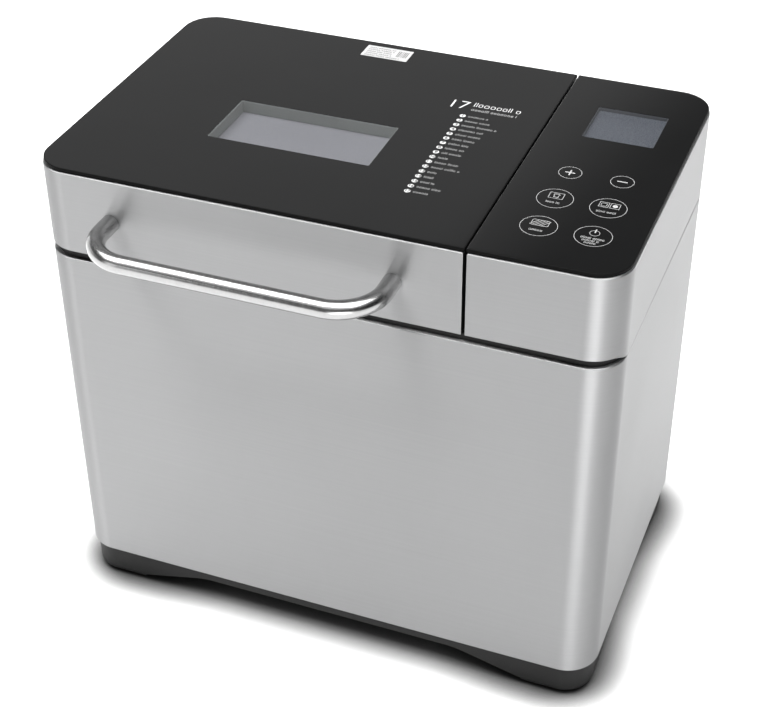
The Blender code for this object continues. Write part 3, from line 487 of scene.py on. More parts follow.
# Unlit liquid-crystal display: blue-grey, with the faint grid of its segments.
DISPLAY = patterned("display_face", ("noise", (14, 18, 14), 2.0),
                    ((0.068, 0.072, 0.079), (0.078, 0.083, 0.091)), (0.26, 0.30),
                    grain=("cells", 1500), IOR=1.5)
WHITE_INK = ink("ink_white", 0.46, 0.54)
KEY_INK = ink("ink_keys", 0.28, 0.33)
SOFT_INK = ink("ink_soft_white", 0.19, 0.22)
DARK_INK = ink("ink_dark", 0.015, 0.025)
GREY_INK = ink("ink_grey", 0.045, 0.06)
PAPER = ink("label_paper", 0.33, 0.36)
RUBBER = patterned("rubber_black", ("noise", 800, 4.0), (grey(0.014), grey(0.030)),
                   (0.72, 0.88), bump=0.00006, IOR=1.5)
# Dark coating with fine pale flecks over pressed aluminium.
NON_STICK = patterned("non_stick_coating", ("cells", 1100), (grey(0.16), grey(0.034)),
                      (0.34, 0.46), grain=("noise", 500, 3.0), bump=0.00003,
                      ends=(0.10, 0.22), IOR=1.5, Coat_Weight=0.25)
# Heat-darkened sheath of the element, browner in patches.
HEATER = patterned("heater_sheath", ("noise", 120, 6.0, 0.65),
                   ((0.075, 0.068, 0.062), (0.21, 0.18, 0.155)), (0.42, 0.66), bump=0.00008,
                   Metallic=0.8)
BRONZE = patterned("bearing_bronze", ("cells", 2400), ((0.30, 0.19, 0.08), (0.58, 0.40, 0.19)),
                   (0.50, 0.34), bump=0.00003, ends=(0.05, 0.3), Metallic=1.0)

SLOT_SURFACES = {
    "steel": BRUSHED, "polished_steel": SATIN, "galvanised": GALVANISED,
    "black_plastic": BLACK_PLASTIC, "grey_plastic": GREY_PLASTIC, "white_plastic": WHITE_PLASTIC,
    "black_glass": BLACK_GLASS, "frosted_glass": FROSTED, "rubber": RUBBER,
    "non_stick": NON_STICK, "heater": HEATER, "bronze": BRONZE, "circuit": CIRCUIT,
    "display": DISPLAY,
}


def dress_frame():
    """Every CAD node that stays in view takes the surface of its slot in the record."""
    for part in frame["record"]["subparts"]:
        node = frame["nodes"][part["node"]]
        node.data.materials.clear()
        node.data.materials.append(SLOT_SURFACES[part["material_slot"]])
    for name in ("top_deck", "panel_frame", "lid_frame"):
        frame["nodes"][name].data.materials[0] = SEAM_PLASTIC


# ---- casing -------------------------------------------------------------------------
BODY_PLAN = plan(LEFT, RIGHT, FRONT, BACK, CORNER)
LID_PLAN = plan(LEFT, LID_RIGHT, FRONT, BACK, (SMALL_CORNER, SMALL_CORNER, CORNER, CORNER))
PANEL_PLAN = plan(PANEL_LEFT, RIGHT, FRONT, BACK, (CORNER, CORNER, SMALL_CORNER, SMALL_CORNER))
WINDOW_PLAN = plan_of("window_frame", CLEAR_CORNER, WELL_WALL)
VIEW_PLAN = plan_of("lcd_module", CLEAR_CORNER, BEZEL_X, BEZEL_Y)


def slot_outline(half_x, half_y, x, y):
    """A slot with round ends, drawn as a flat outline."""
    points = []
    for side in (1, -1):
        for step in range(9):
            turn = math.radians(-90 + 180 * step / 8)
            points.append((x + side * (half_x - half_y + half_y * math.cos(turn)),
                           y + side * half_y * math.sin(turn)))
    return points


def make_shell():
    roll, lip = 0.0009, 0.005
    section = rounded([(0, SHELL_BOTTOM, EDGE), (0, SHELL_TOP, roll), (lip, SHELL_TOP, 0),
                       (lip, SHELL_TOP - SHEET, 0), (SHEET, SHELL_TOP - SHEET, roll - SHEET),
                       (SHEET, SHELL_BOTTOM, EDGE)])
    shell = walled("shell_skin", BODY_PLAN, section, True)
    vent_x, vent_half, count, first, pitch = 0.136, 0.028, 7, 0.120, 0.009
    tools = [prism(f"vent_{index}", slot_outline(vent_half, 0.0015, vent_x, first + pitch * index),
                   BACK - BEYOND, BACK + BEYOND, "Y") for index in range(count)]
    low, high = plan_box("cord_grommet")
    middle = middle_of("cord_grommet")
    tools.append(drill("cord_hole", (middle.x, 0, middle.z), 0.0080, BACK, "Y"))
    carve(shell, tools)
    dress(shell, "casing", BRUSHED, "steel", "body_shell")
    bore, groove, flange = 0.0035, 0.0077, (high.x - low.x) / 2
    wall_in, wall_out = BACK - SHEET - GAP, BACK + GAP
    profile = rounded([(bore, low.y, 0.0006), (flange, low.y, 0.0004), (flange, wall_in, 0.0004),
                       (groove, wall_in, 0), (groove, wall_out, 0), (flange, wall_out, EDGE),
                       (flange, high.y, 0.0008), (bore, high.y, 0.0006)], steps=3)
    grommet = turned("cord_grommet_skin", (middle.x, 0, middle.z), profile, True, "Y")
    dress(grommet, "casing", RUBBER, "black_plastic", "cord_grommet")


def make_deck():
    """The black top of the casing, seen in the seam and all round the oven when the lid is up."""
    lip, skirt, under = 0.0028, 0.0070, 0.2655
    low, high = plan_box("top_deck")
    seat = SHELL_TOP + GAP
    section = rounded([(lip + 0.0006, high.z, 0), (lip, high.z - 0.0006, 0.0002), (lip, seat, 0),
                       (skirt, seat, 0), (skirt, low.z, 0), (skirt + 0.0025, low.z, 0),
                       (skirt + 0.0025, under, 0)], steps=2)
    deck = walled("deck_skin", BODY_PLAN, section)
    opening = plan_of("oven_liner", OVEN_CORNER - 0.002, 0.011)
    wiring = plan(0.104, 0.172, -0.090, 0.090, 0.008)
    ledge = plan(LEFT - BEYOND, PANEL_LEFT - 0.0005, 0.1005, BACK + BEYOND, GAP)
    ledge_top, through = 0.2685, [(0, 0.2), (0, 0.3)]
    carve(deck, [walled("oven_opening", opening, through),
                 walled("wiring_opening", wiring, through),
                 walled("rear_ledge", ledge, [(0, ledge_top), (0, 0.3)])])
    dress(deck, "casing", SEAM_PLASTIC, "black_plastic", "top_deck")


def arch_outline(foot, step, arch, bottom, top):
    """The hollow between two feet: a small step at each foot, then a long slope."""
    half = rounded([(foot, -BEYOND, 0), (foot, bottom, 0), (foot - step, bottom + step, 0.0015),
                    (arch, top, 0.060), (0, top, 0)], steps=8)
    return list(half) + [(-x, z) for x, z in reversed(half[:-1])]


def make_base():
    low, high = plan_box("base_tray")
    inset, edge = low.x - LEFT, 0.005
    bottom, top, plate = low.z, high.z, 0.0195
    section = [(inset + edge, bottom)] + rounded(
        [(inset + edge, bottom, 0), (inset, bottom, edge - 0.0002), (inset, top, 0.0002)],
        steps=8)[1:]
    section += [(inset + 0.0025, top), (inset + 0.0025, plate)]
    base = walled("base_skin", BODY_PLAN, section)
    arch_top, arch_step = 0.0170, 0.004
    tools = [prism("arch_front_back", arch_outline(0.142, arch_step, 0.092, bottom, arch_top),
                   -0.2, 0.2, "Y"),
             prism("arch_sides", arch_outline(0.082, arch_step, 0.048, bottom, arch_top),
                   -0.3, 0.3, "X")]
    for index in range(5):
        x = plan_box("motor_fan")[0].x + 0.014 * index
        vent = [(a, b) for b, a in slot_outline(0.030, 0.002, 0, x)]
        tools.append(prism(f"floor_vent_{index}", vent, 0.01, 0.03))
    screws = [(side_x * 0.150, side_y * 0.064) for side_x in (-1, 1) for side_y in (-1, 1)]
    well_top = 0.0100
    for index, (x, y) in enumerate(screws):
        tools.append(turned(f"screw_well_{index}", (x, y, 0),
                            [(0.0050, -BEYOND), (0.0050, well_top)]))
    corners = [(row, side) for row in ("front", "back") for side in ("left", "right")]
    for pad in (f"foot_pad_{row}_{side}" for row, side in corners):
        pad_low, pad_high = plan_box(pad)
        x, y, pad_top = *middle_of(pad).xy, pad_high.z
        radius, groove = (pad_high.x - pad_low.x) / 2, 0.0004
        tools.append(turned(f"recess_{pad}", (x, y, 0),
                            [(radius + GAP, -BEYOND), (radius + GAP, pad_top + GAP)]))
        rim = rounded([(radius, 0, 0.0009), (radius, pad_top, EDGE), (AXIS, pad_top, 0)], steps=4)
        sole = [(AXIS, groove), (0.0024, groove), (0.0026, 0), (0.0046, 0), (0.0048, groove),
                (0.0056, groove), (0.0058, 0)]
        dress(turned(f"{pad}_skin", (x, y, 0), sole + rim), "casing", RUBBER, "rubber", pad)
    carve(base, tools)
    dress(base, "casing", BLACK_PLASTIC, "black_plastic", "base_tray")
    for index, (x, y) in enumerate(screws):
        head = turned(f"base_screw_{index}", (x, y, well_top - 0.0022),
                      rounded([(AXIS, 0, 0), (0.0038, 0, 0.0012), (0.0038, 0.0021, 0),
                               (AXIS, 0.0021, 0)], steps=4), sides=32)
        cross = [prism(f"cross_{index}_{turn}", bar_outline(x - a, x + a, y - b, y + b),
                       0, well_top - 0.0010)
                 for turn, (a, b) in enumerate(((0.0022, 0.0004), (0.0004, 0.0022)))]
        dress(carve(head, cross), "casing", SATIN, "polished_steel")


# ---- lid and panel ------------------------------------------------------------------
def band_section():
    """Steel band: rolled over at the top so that a bright line runs under the glass."""
    roll, lip, under = 0.0009, 0.0024, BAND_TOP - 0.0003
    return rounded([(0, BAND_BOTTOM, EDGE), (0, BAND_TOP, roll), (lip, BAND_TOP, 0),
                    (lip, under, 0), (SHEET, under, 0.0002), (SHEET, BAND_BOTTOM, EDGE)])


def close_side_seam(panel):
    """The panel's band comes down to the casing on the right, easing in round the corners."""
    drop, middle = BAND_BOTTOM - SHELL_TOP - SEAM, Vector((RIGHT - CORNER, MID_Y))
    reach, begins, eases = BACK - CORNER, math.radians(48), math.radians(40)
    for vertex in panel.data.vertices:
        if vertex.co.z < BAND_BOTTOM + 0.0005 and vertex.co.x > middle.x:
            away = max(abs(vertex.co.y - middle.y) - reach, 0.0)
            turn = math.atan2(vertex.co.x - middle.x, away)
            share = min(max((turn - begins) / eases, 0.0), 1.0)
            vertex.co.z -= drop * share * share * (3 - 2 * share)


def make_bands():
    lid = walled("lid_skin", LID_PLAN, band_section(), True)
    tools = []
    spare, notch_front, notch_top = 0.0021, 0.1025, 0.2845
    for word in ("left", "right"):
        low, high = plan_box(f"hinge_bracket_{word}")
        notch = plan(low.x - spare, high.x + spare, notch_front, BACK + BEYOND, GAP)
        tools.append(walled(f"notch_{word}", notch, [(0, 0.26), (0, notch_top)]))
        middle = middle_of(f"handle_screw_{word}")
        tools.append(drill(f"screw_hole_{word}", (middle.x, 0, middle.z), 0.0023, FRONT, "Y", 20))
    panel = walled("panel_skin", PANEL_PLAN, band_section(), True)
    close_side_seam(panel)
    for item, side, body, band in ((carve(lid, tools), LID_RIGHT, "lid", "lid_band"),
                                   (panel, PANEL_LEFT, "casing", "panel_band")):
        for face in item.data.polygons:
            if abs(face.normal.x) > 0.9 and abs(face.center.x - side) < 0.001:
                face.material_index = 1     # the two walls of the slot are painted black, partly as painted shade deep in the narrow slot
        dress(item, body, (BRUSHED, SEAM_PLASTIC), "steel", band)


def make_glass(name, shape, clear, body, through, replaced):
    """A black glass top with a ground edge, and the unprinted rectangle set in it."""
    edge, inset = 0.0006, GLASS_INSET + LIP
    section = rounded([(inset + 0.0004, GLASS_BOTTOM, 0), (inset, GLASS_BOTTOM + 0.0004, 0),
                       (inset, GLASS_TOP, edge), (inset + 0.004, GLASS_TOP, 0)], steps=5)
    hole = walled("clear_hole", clear, [(0, GLASS_BOTTOM - BEYOND), (0, GLASS_TOP + BEYOND)])
    glass = carve(walled(name, shape, section), [hole])
    for face in glass.data.polygons:
        if abs(face.normal.z) < 0.98:
            face.material_index = 1
    dress(glass, body, (BLACK_GLASS, GLASS_EDGE), "black_glass", replaced)
    lens = walled(name + "_clear", clear, [(0.00002, GLASS_TOP - LENS), (0.00002, GLASS_TOP)])
    dress(lens, body, through, "black_glass")


def widened(shape, left, right):
    x0, x1, y0, y1, radii = shape
    return x0 - left, x1 + right, y0, y1, radii


def make_window():
    """The grey well under the window: its collar lines the opening up through the glass."""
    low, high = plan_box("window_frame")
    pane_low, pane_high = plan_box("window_pane")
    gap, collar, ledge = 0.0001, 0.0005, -0.0015
    top = GLASS_TOP - LENS - gap
    section = [(-WELL_WALL, low.z), (-WELL_WALL, high.z), (gap, high.z), (gap, top), (collar, top),
               (collar, pane_high.z + GAP), (ledge, pane_high.z + GAP), (ledge, pane_low.z - GAP),
               (collar, pane_low.z - GAP), (collar, low.z)]
    dress(walled("window_well", WINDOW_PLAN, section, True), "lid", GREY_PLASTIC, "grey_plastic",
          "window_frame")


def make_display():
    """The display module: its bezel rises through the glass, with the face sunk inside."""
    low, high = plan_box("lcd_module")
    body = plan_of("lcd_module", CLEAR_CORNER)
    gap, rim, sunk = 0.0001, 0.0004, 0.0026
    top, face = GLASS_TOP - LENS - gap, GLASS_TOP - sunk
    section = [(low.z, body, 0), (high.z, body, 0), (high.z, VIEW_PLAN, gap),
               (top, VIEW_PLAN, gap), (top, VIEW_PLAN, rim), (face, VIEW_PLAN, rim)]
    module = loft("display_module", [outline(shape, inset, z) for z, shape, inset in section],
                  False)
    for side in module.data.polygons:
        if side.normal.z < 0.9 or side.center.z > face + 0.0001:
            side.material_index = 1     # all but the sunk face
    dress(module, "casing", (DISPLAY, DISPLAY_RIM), "display", "lcd_module")


def make_handle():
    low, high = plan_box("handle")
    radius, bend = (high.z - low.z) / 2, 0.028
    z, bar_y = middle_of("handle").z, low.y + radius
    left, right, root = low.x + radius, high.x - radius, FRONT - GAP
    path = rounded_path([(left, root, z), (left, bar_y, z), (right, bar_y, z), (right, root, z)],
                        (bend, bend), 24)
    bar = swept("handle_bar", path, radius, 40)
    dress(bar, "lid", SATIN, "polished_steel", "handle")


# ---- printing -----------------------------------------------------------------------
ON_GLASS = (GLASS_TOP + PRINT_LIFT, GLASS_TOP + PRINT_LIFT + PRINT)     # heights of a layer


def over(layer):
    """The layer printed on top of another."""
    return layer[1], layer[1] + PRINT


def add_plate(mesh, points, layer=ON_GLASS):
    add_loft(mesh, [[(x, y, z) for x, y in points] for z in layer], False)


def add_ring(mesh, outer, inner, layer=ON_GLASS):
    """A closed flat band between two outlines with as many points as each other."""
    low, high = layer
    add_loft(mesh, [[(x, y, z) for x, y in points]
                    for points, z in ((outer, low), (outer, high), (inner, high), (inner, low))],
             True)


def add_circle(mesh, x, y, radius, line):
    add_ring(mesh, circle(x, y, radius), circle(x, y, radius - line))


def add_box(mesh, x, y, half_x, half_y, radius, line, layer=ON_GLASS):
    """The rim of a rounded rectangle, drawn with a line of this width."""
    shape = plan(x - half_x, x + half_x, y - half_y, y + half_y, radius)
    outer, inner = ([(a, b) for a, b, _ in outline(shape, inset, 0)] for inset in (0.0, line))
    add_ring(mesh, outer, inner, layer)


def marks(mesh, x0, x1, y, height, line, chance, word=0, layer=ON_GLASS):
    """Hollow boxes and strokes grouped like words, which say nothing."""
    x, left = x0, word or chance.randint(4, 7)
    while x < x1 - height / 3:
        width, half = height * chance.uniform(0.66, 0.84), height / 2
        if chance.random() < 0.3:
            add_plate(mesh, bar_outline(x, x + line, y - half, y + half * 1.7), layer)
            width = line
        else:
            add_box(mesh, x + width / 2, y, width / 2, half, width * 0.38, line, layer)
        left -= 1
        x += width + height * (0.26 if left else 0.75)
        left = left or chance.randint(4, 8)


def add_numeral(mesh, text, x, y, height, thinner, layer=ON_GLASS):
    """A printed number, centred on x, y, with its strokes drawn in by a little all round."""
    low, high = layer
    curve = bpy.data.curves.new("numeral", "FONT")
    curve.body = text
    curve.size = height * 1.4
    curve.offset = -thinner
    curve.align_x = curve.align_y = "CENTER"
    curve.extrude = (high - low) / 2
    curve.resolution_u = 3
    item = bpy.data.objects.new("numeral", curve)
    bpy.context.scene.collection.objects.link(item)
    bpy.context.view_layer.update()
    graph = bpy.context.evaluated_depsgraph_get()
    data = bpy.data.meshes.new_from_object(item.evaluated_get(graph))
    data.transform(Matrix.Translation((x, y, (low + high) / 2)))
    mesh.from_mesh(data)
    bpy.data.objects.remove(item, do_unlink=True)
    bpy.data.meshes.remove(data)


LIST_LINES = (0.0128, 0.0157, 0.0230, 0.0167, 0.0173, 0.0154, 0.0133, 0.0119, 0.0127,
              0.0063, 0.0149, 0.0184, 0.0053, 0.0065, 0.0083, 0.0141, 0.0109)
DOT_X, DOT_RADIUS, FIRST_DOT_Y, LIST_PITCH = 0.0407, 0.0019, 0.0333, 0.00624
LIST_START = DOT_X + 0.0036


def make_programme_list():
    """Seventeen numbered dots, each with a line of marks for its words, under a heading."""
    chance = random.Random(17)
    heading, white, words, numbers = bmesh.new(), bmesh.new(), bmesh.new(), bmesh.new()
    for row, length in enumerate(LIST_LINES):
        y = FIRST_DOT_Y - LIST_PITCH * row
        add_plate(white, circle(DOT_X, y, DOT_RADIUS, 28))
        add_numeral(numbers, str(row + 1), DOT_X, y, 0.0030 if row < 9 else 0.0025, -0.00014,
                    over(ON_GLASS))
        marks(words, LIST_START, LIST_START + length, y, 0.0017, 0.00026, chance)
    marks(white, 0.0430, 0.0745, 0.0496, 0.0040, 0.00048, chance, 9)
    marks(words, 0.0432, 0.0735, 0.0428, 0.0022, 0.00040, chance)
    add_numeral(heading, str(len(LIST_LINES)), 0.0332, 0.0470, 0.0105, 0.00018)
    for name, mesh, colour in (
            ("lid_print", white, WHITE_INK), ("lid_print_lines", words, SOFT_INK),
            ("lid_numerals", numbers, DARK_INK), ("lid_heading", heading, WHITE_INK)):
        dress(item_from(name, mesh), "lid", colour, "black_glass")


def loaf_outline(x, y, size):
    """The end view of a tin loaf: square below, domed above."""
    points = [(-0.62, -0.8), (0.62, -0.8), (0.62, 0.15)]
    for step in range(13):
        turn = math.radians(-35 + 250 * step / 12)
        points.append((0.85 * math.cos(turn), 0.48 + 0.42 * math.sin(turn)))
    points.append((-0.62, 0.15))
    return [(x + a * size, y + b * size) for a, b in points]


KEYS_LEFT, KEYS_RIGHT = 0.1240, 0.1558
KEY_ROWS = (-0.0125, -0.0446, -0.0772)
KEY_RADII = (0.0071, 0.0109, 0.0109)
KEY_LINE, SYMBOL_LINE = 0.00029, 0.00032


def make_touch_marks():
    """Rings and pictograms over the six touch keys."""
    chance, mesh = random.Random(6), bmesh.new()
    first, second, third = KEY_ROWS
    for y, radius in zip(KEY_ROWS, KEY_RADII):
        for x in (KEYS_LEFT, KEYS_RIGHT):
            add_circle(mesh, x, y, radius, KEY_LINE)
    # Plus and minus: both have the level bar, and the plus two short upright ones.
    arm, half = 0.0031, 0.00045
    for x in (KEYS_LEFT, KEYS_RIGHT):
        add_plate(mesh, bar_outline(x - arm, x + arm, first - half, first + half))
    for side in (-1, 1):
        near, far = sorted((first + side * half, first + side * arm))
        add_plate(mesh, bar_outline(KEYS_LEFT - half, KEYS_LEFT + half, near, far))
    # A loaf in a frame, and two crust shades, one dark and one pale.
    y, aside = second + 0.0032, 0.0033
    add_box(mesh, KEYS_LEFT, y, 0.0044, 0.0034, 0.0003, SYMBOL_LINE)
    loaf = 0.0024
    add_ring(mesh, loaf_outline(KEYS_LEFT, y, loaf), loaf_outline(KEYS_LEFT, y, loaf * 0.78))
    for side in (-1, 1):
        add_box(mesh, KEYS_RIGHT + side * aside, y, 0.0029, 0.0029, 0.0003, SYMBOL_LINE)
    add_plate(mesh, circle(KEYS_RIGHT + aside, y, 0.0016, 24))
    add_box(mesh, KEYS_RIGHT - aside, y, 0.0018, 0.0018, 0.0009, 0.0003)
    # A striped rectangle, and a power sign.
    y = third + 0.0034
    add_box(mesh, KEYS_LEFT, y, 0.0052, 0.0032, 0.0012, SYMBOL_LINE)
    lean, half = math.radians(-38), 0.00018
    for step in range(-2, 3):
        stripe = [(KEYS_LEFT + step * 0.0018 + a * math.cos(lean) - b * math.sin(lean),
                   y + a * math.sin(lean) + b * math.cos(lean))
                  for a, b in bar_outline(-half, half, -0.0034, 0.0034)]
        add_plate(mesh, stripe)
    add_circle(mesh, KEYS_RIGHT, y, 0.0030, KEY_LINE)
    half = 0.00035
    add_plate(mesh, bar_outline(KEYS_RIGHT - half, KEYS_RIGHT + half, y + 0.0004, y + 0.0042),
              (ON_GLASS[0], ON_GLASS[1] + PRINT / 2))
    for x, y, below, reach in (
            (KEYS_LEFT, second, 0.0048, 0.0042), (KEYS_RIGHT, second, 0.0048, 0.0060),
            (KEYS_LEFT, third, 0.0048, 0.0044), (KEYS_RIGHT, third, 0.0026, 0.0066),
            (KEYS_RIGHT, third, 0.0052, 0.0052), (KEYS_RIGHT, third, 0.0077, 0.0034)):
        marks(mesh, x - reach, x + reach, y - below, 0.0016, 0.00025, chance)
    dress(item_from("panel_print", mesh), "casing", KEY_INK, "black_glass")


def make_label():
    """A small paper label with generic grey marks, near the back edge of the lid."""
    chance, mesh = random.Random(3), bmesh.new()
    x0, x1, y0, y1 = -0.0524, -0.0196, 0.0922, 0.1082
    paper = (GLASS_TOP + PRINT_LIFT, GLASS_TOP + 0.00009)
    label = walled("paper_label", plan(x0, x1, y0, y1, 0.0005), [(0, z) for z in paper])
    dress(label, "lid", PAPER, "black_glass")
    pitch, rows = 0.0028, 5
    for row in range(rows):
        reach = x1 - (0.0120 if row < rows - 1 else 0.0060)
        marks(mesh, x0 + 0.0022, reach, y1 - pitch * (row + 1), 0.0014, 0.0003, chance,
              layer=over(paper))
    for column in range(7):
        x = x1 - 0.0094 + 0.0011 * column
        stroke = bar_outline(x, x + chance.uniform(0.0003, 0.0007), y1 - 0.0110, y1 - 0.0026)
        add_plate(mesh, stroke, over(paper))
    dress(item_from("label_print", mesh), "lid", GREY_INK, "black_glass")


# ---- oven and pan -------------------------------------------------------------------
TERMINAL_Y = 0.012              # the heater's two ends, either side of the middle


def make_oven():
    low, high = plan_box("oven_liner")
    flange, axis, sensor = 0.009, middle_of("oven_liner").x, middle_of("temperature_sensor")
    oven = plan_of("oven_liner", OVEN_CORNER, flange)
    section = rounded([(0.030, low.z, 0), (-SHEET, low.z, 0.0038), (-SHEET, high.z - SHEET, 0),
                       (-flange, high.z - SHEET, 0), (-flange, high.z, 0), (0, high.z, 0.0006),
                       (0, low.z + SHEET, 0.0030), (0.030, low.z + SHEET, 0)])
    liner = walled("oven_skin", oven, section)
    tools = [drill("shaft_hole", (axis, 0, 0), 0.010, low.z)]
    for side in (-1, 1):
        place = (0, side * TERMINAL_Y, middle_of("heating_element").z)
        tools.append(drill(f"terminal_hole_{side}", place, 0.0045, oven[1], "X"))
    tools.append(drill("sensor_hole", (sensor.x, 0, sensor.z), 0.0036, oven[2], "Y"))
    dress(carve(liner, tools), "casing", GALVANISED, "galvanised", "oven_liner")


def make_heater():
    low, high = plan_box("heating_element")
    radius, z = (high.z - low.z) / 2, middle_of("heating_element").z
    left, back = low.x + radius, high.y - radius
    right = 2 * middle_of("oven_liner").x - left
    corners = [(high.x, TERMINAL_Y), (right, TERMINAL_Y), (right, back), (left, back),
               (left, -back), (right, -back), (right, -TERMINAL_Y), (high.x, -TERMINAL_Y)]
    path = rounded_path([(x, y, z) for x, y in corners], (0.008, *[0.022] * 4, 0.008), 10)
    dress(swept("heater_tube", path, radius, 24), "casing", HEATER, "heater", "heating_element")


def make_lid_liner():
    low, high = plan_box("lid_liner")
    tray = plan_of("oven_liner", OVEN_CORNER, 0.007)
    flange = plan_of("lid_liner", (0.007, 0.007, CORNER - 0.005, CORNER - 0.005))
    top, bottom, flange_top, bevel, middle = high.z, low.z, 0.2742, EDGE, 0.030
    dome = rounded([(middle, top, 0), (0, top, 0.005), (0, flange_top, 0)])
    inner = rounded([(SHEET, bottom, 0), (SHEET, top - SHEET, 0.0045), (middle, top - SHEET, 0)])
    rings = [outline(tray, inset, z) for inset, z in dome]
    rings += [outline(flange, 0, flange_top), outline(flange, 0, bottom + bevel),
              outline(flange, bevel, bottom)]
    rings += [outline(tray, inset, z) for inset, z in inner]
    cover = loft("lid_liner_skin", rings, False)
    carve(cover, [walled("cover_window", WINDOW_PLAN, [(0, 0.29), (0, 0.32)])])
    dress(cover, "lid", GALVANISED, "galvanised", "lid_liner")


def make_pan():
    low, high = plan_box("bread_pan")
    wall, lip, draft, foot = 0.0015, 0.005, 0.003, 0.007
    section = rounded([(0.040, low.z, 0), (lip + draft, low.z, foot), (lip, high.z - wall, 0.0008),
                       (0, high.z - wall, 0.0004), (0, high.z, 0.0008),
                       (lip + wall, high.z, 0.0012),
                       (lip + draft + wall, low.z + wall, foot - wall), (0.040, low.z + wall, 0)])
    body = walled("pan_skin", plan_of("bread_pan", PAN_CORNER), section)
    carve(body, [drill("bush_hole", (middle_of("bread_pan").x, 0, 0), 0.009, low.z)])
    dress(body, "pan", NON_STICK, "non_stick", "bread_pan")


def make_bail():
    low, high = plan_box("pan_bail")
    wire, pivot_z, leg_x, tip_x = 0.0022, 0.2330, 0.0945, 0.0840
    middle, reach_y, reach_z = middle_of("pan_bail").x, high.y - wire, low.z + wire
    corners = []
    for side in (-1, 1):
        half = [(middle + side * tip_x, 0, pivot_z), (middle + side * leg_x, 0, pivot_z),
                (middle + side * leg_x, reach_y, reach_z)]
        corners += half if side < 0 else reversed(half)
    path = rounded_path(corners, (0.0035, 0.012, 0.012, 0.0035), 10)
    dress(swept("bail_wire", path, wire, 20), "bail", SATIN, "polished_steel", "pan_bail")


def make_paddle():
    """The kneading paddle: a hub on the shaft and one blade that swings aside as it reaches out."""
    low, high = plan_box("kneading_paddle")
    middle, foot, hub_top = middle_of("pan_shaft").x, low.z, 0.1240
    reach, steps = high.x - middle, 14
    profile = rounded([(AXIS, foot, 0), (0.0120, foot, 0.0006), (0.0120, foot + 0.004, 0.001),
                       (0.0095, hub_top - 0.002, 0.002), (0.0080, hub_top, 0.0008),
                       (AXIS, hub_top, 0)])
    hub = turned("paddle_skin", (middle, 0, 0), profile)
    rings = []
    for step in range(steps + 1):
        share = step / steps
        x = middle + 0.004 + (reach - 0.005) * share
        thick = 0.0030 - 0.0018 * share
        height = 0.018 + 0.013 * math.sin(math.pi * min(share * 0.72, 0.5)) - 0.017 * share ** 6
        swing = 0.0085 * share ** 2.4
        section = rounded([(swing - thick, foot, 0), (swing + thick, foot, 0),
                           (swing + thick * 0.6, foot + height, thick * 0.5),
                           (swing - thick * 0.6, foot + height, thick * 0.5)], steps=3)
        rings.append([(x, y, z) for y, z in section])
    carve(hub, [loft("paddle_blade", rings, False)], "UNION")
    carve(hub, [turned("paddle_bore", (middle, 0, 0), [(0.0046, 0.09), (0.0046, 0.14)])])
    dress(hub, "paddle", NON_STICK, "non_stick", "kneading_paddle")


# ---- studio -------------------------------------------------------------------------
FLOOR_HALF = 6.0
CAMERA_PLACE = (0.3359, -0.8376, 0.8230)
CAMERA_YAW, CAMERA_PITCH, CAMERA_ROLL = (math.radians(turn) for turn in (21.442, 35.78, -0.422))
FOCAL_LENGTH, SENSOR_WIDTH = 78.40, 36.0
BACKDROP = 0.93                 # what the camera sees of the sky itself
# The sky's brightness by height, behind the machine and in front of it.
SKY_TINT = 0.015                # only lowers the sky's level a little: it ends up neutral
REAR_SKY = ((0.0, 12.5), (0.17, 9.5), (0.31, 0.55), (0.44, 0.40), (0.58, 0.36), (0.68, 0.25),
            (0.75, 1.3))
FRONT_SKY = ((0.0, 0.30), (0.06, 0.16), (0.58, 0.14), (0.70, 1.2), (1.0, 1.2))
FRONT_TO_REAR = ((0.30, 0.0), (0.62, 1.0))
RIGHT_FLAG = ((0.70, 1.0), (0.90, 0.03))        # dims the far right, left to right
LEFT_FLAG = ((0.05, 0.12), (0.22, 1.0))         # dims the far left of the rear
SHADED_QUARTER = (-0.813, 0.140, -0.565)        # the rear dims against this direction
SHADE_START, SHADE_END, SHADE_LEVEL = -0.025, 0.05, 0.28
LIGHTS = (                      # name, place, target, width, height, power, spread
    ("overhead", (-0.5, -0.30, 3.0), (-0.5, -0.30, 0), 4.8, 2.2, 252, 180),
    ("left", (-1.8, -2.2, 0.8), (-0.15, -0.10, 0.25), 1.2, 1.4, 8, 180),
    ("front_right_strip", (0.60, -1.10, 0.20), (0.17, -0.10, 0.32), 1.15, 0.38, 0.86, 50),
)


def make_floor():
    mesh = bmesh.new()
    corners = bar_outline(-FLOOR_HALF, FLOOR_HALF, -FLOOR_HALF, FLOOR_HALF)
    mesh.faces.new([mesh.verts.new((x, y, 0)) for x, y in corners])
    floor = item_from("studio_floor", mesh)
    floor.data.materials.append(floor_paint())


def make_camera():
    """Looks down on the machine from its front right, a little turned about its own axis."""
    level = Vector((math.cos(CAMERA_YAW), math.sin(CAMERA_YAW), 0))
    ahead = Vector((-math.sin(CAMERA_YAW) * math.cos(CAMERA_PITCH),
                    math.cos(CAMERA_YAW) * math.cos(CAMERA_PITCH), -math.sin(CAMERA_PITCH)))
    above = level.cross(ahead)
    right = math.cos(CAMERA_ROLL) * level + math.sin(CAMERA_ROLL) * above
    up = math.cos(CAMERA_ROLL) * above - math.sin(CAMERA_ROLL) * level
    turn = Matrix((right, up, -ahead)).transposed().to_4x4()
    data = bpy.data.cameras.new("studio_camera")
    data.lens, data.sensor_width = FOCAL_LENGTH, SENSOR_WIDTH
    camera = bpy.data.objects.new("studio_camera", data)
    camera.matrix_world = Matrix.Translation(CAMERA_PLACE) @ turn
    bpy.context.scene.collection.objects.link(camera)
    bpy.context.scene.camera = camera


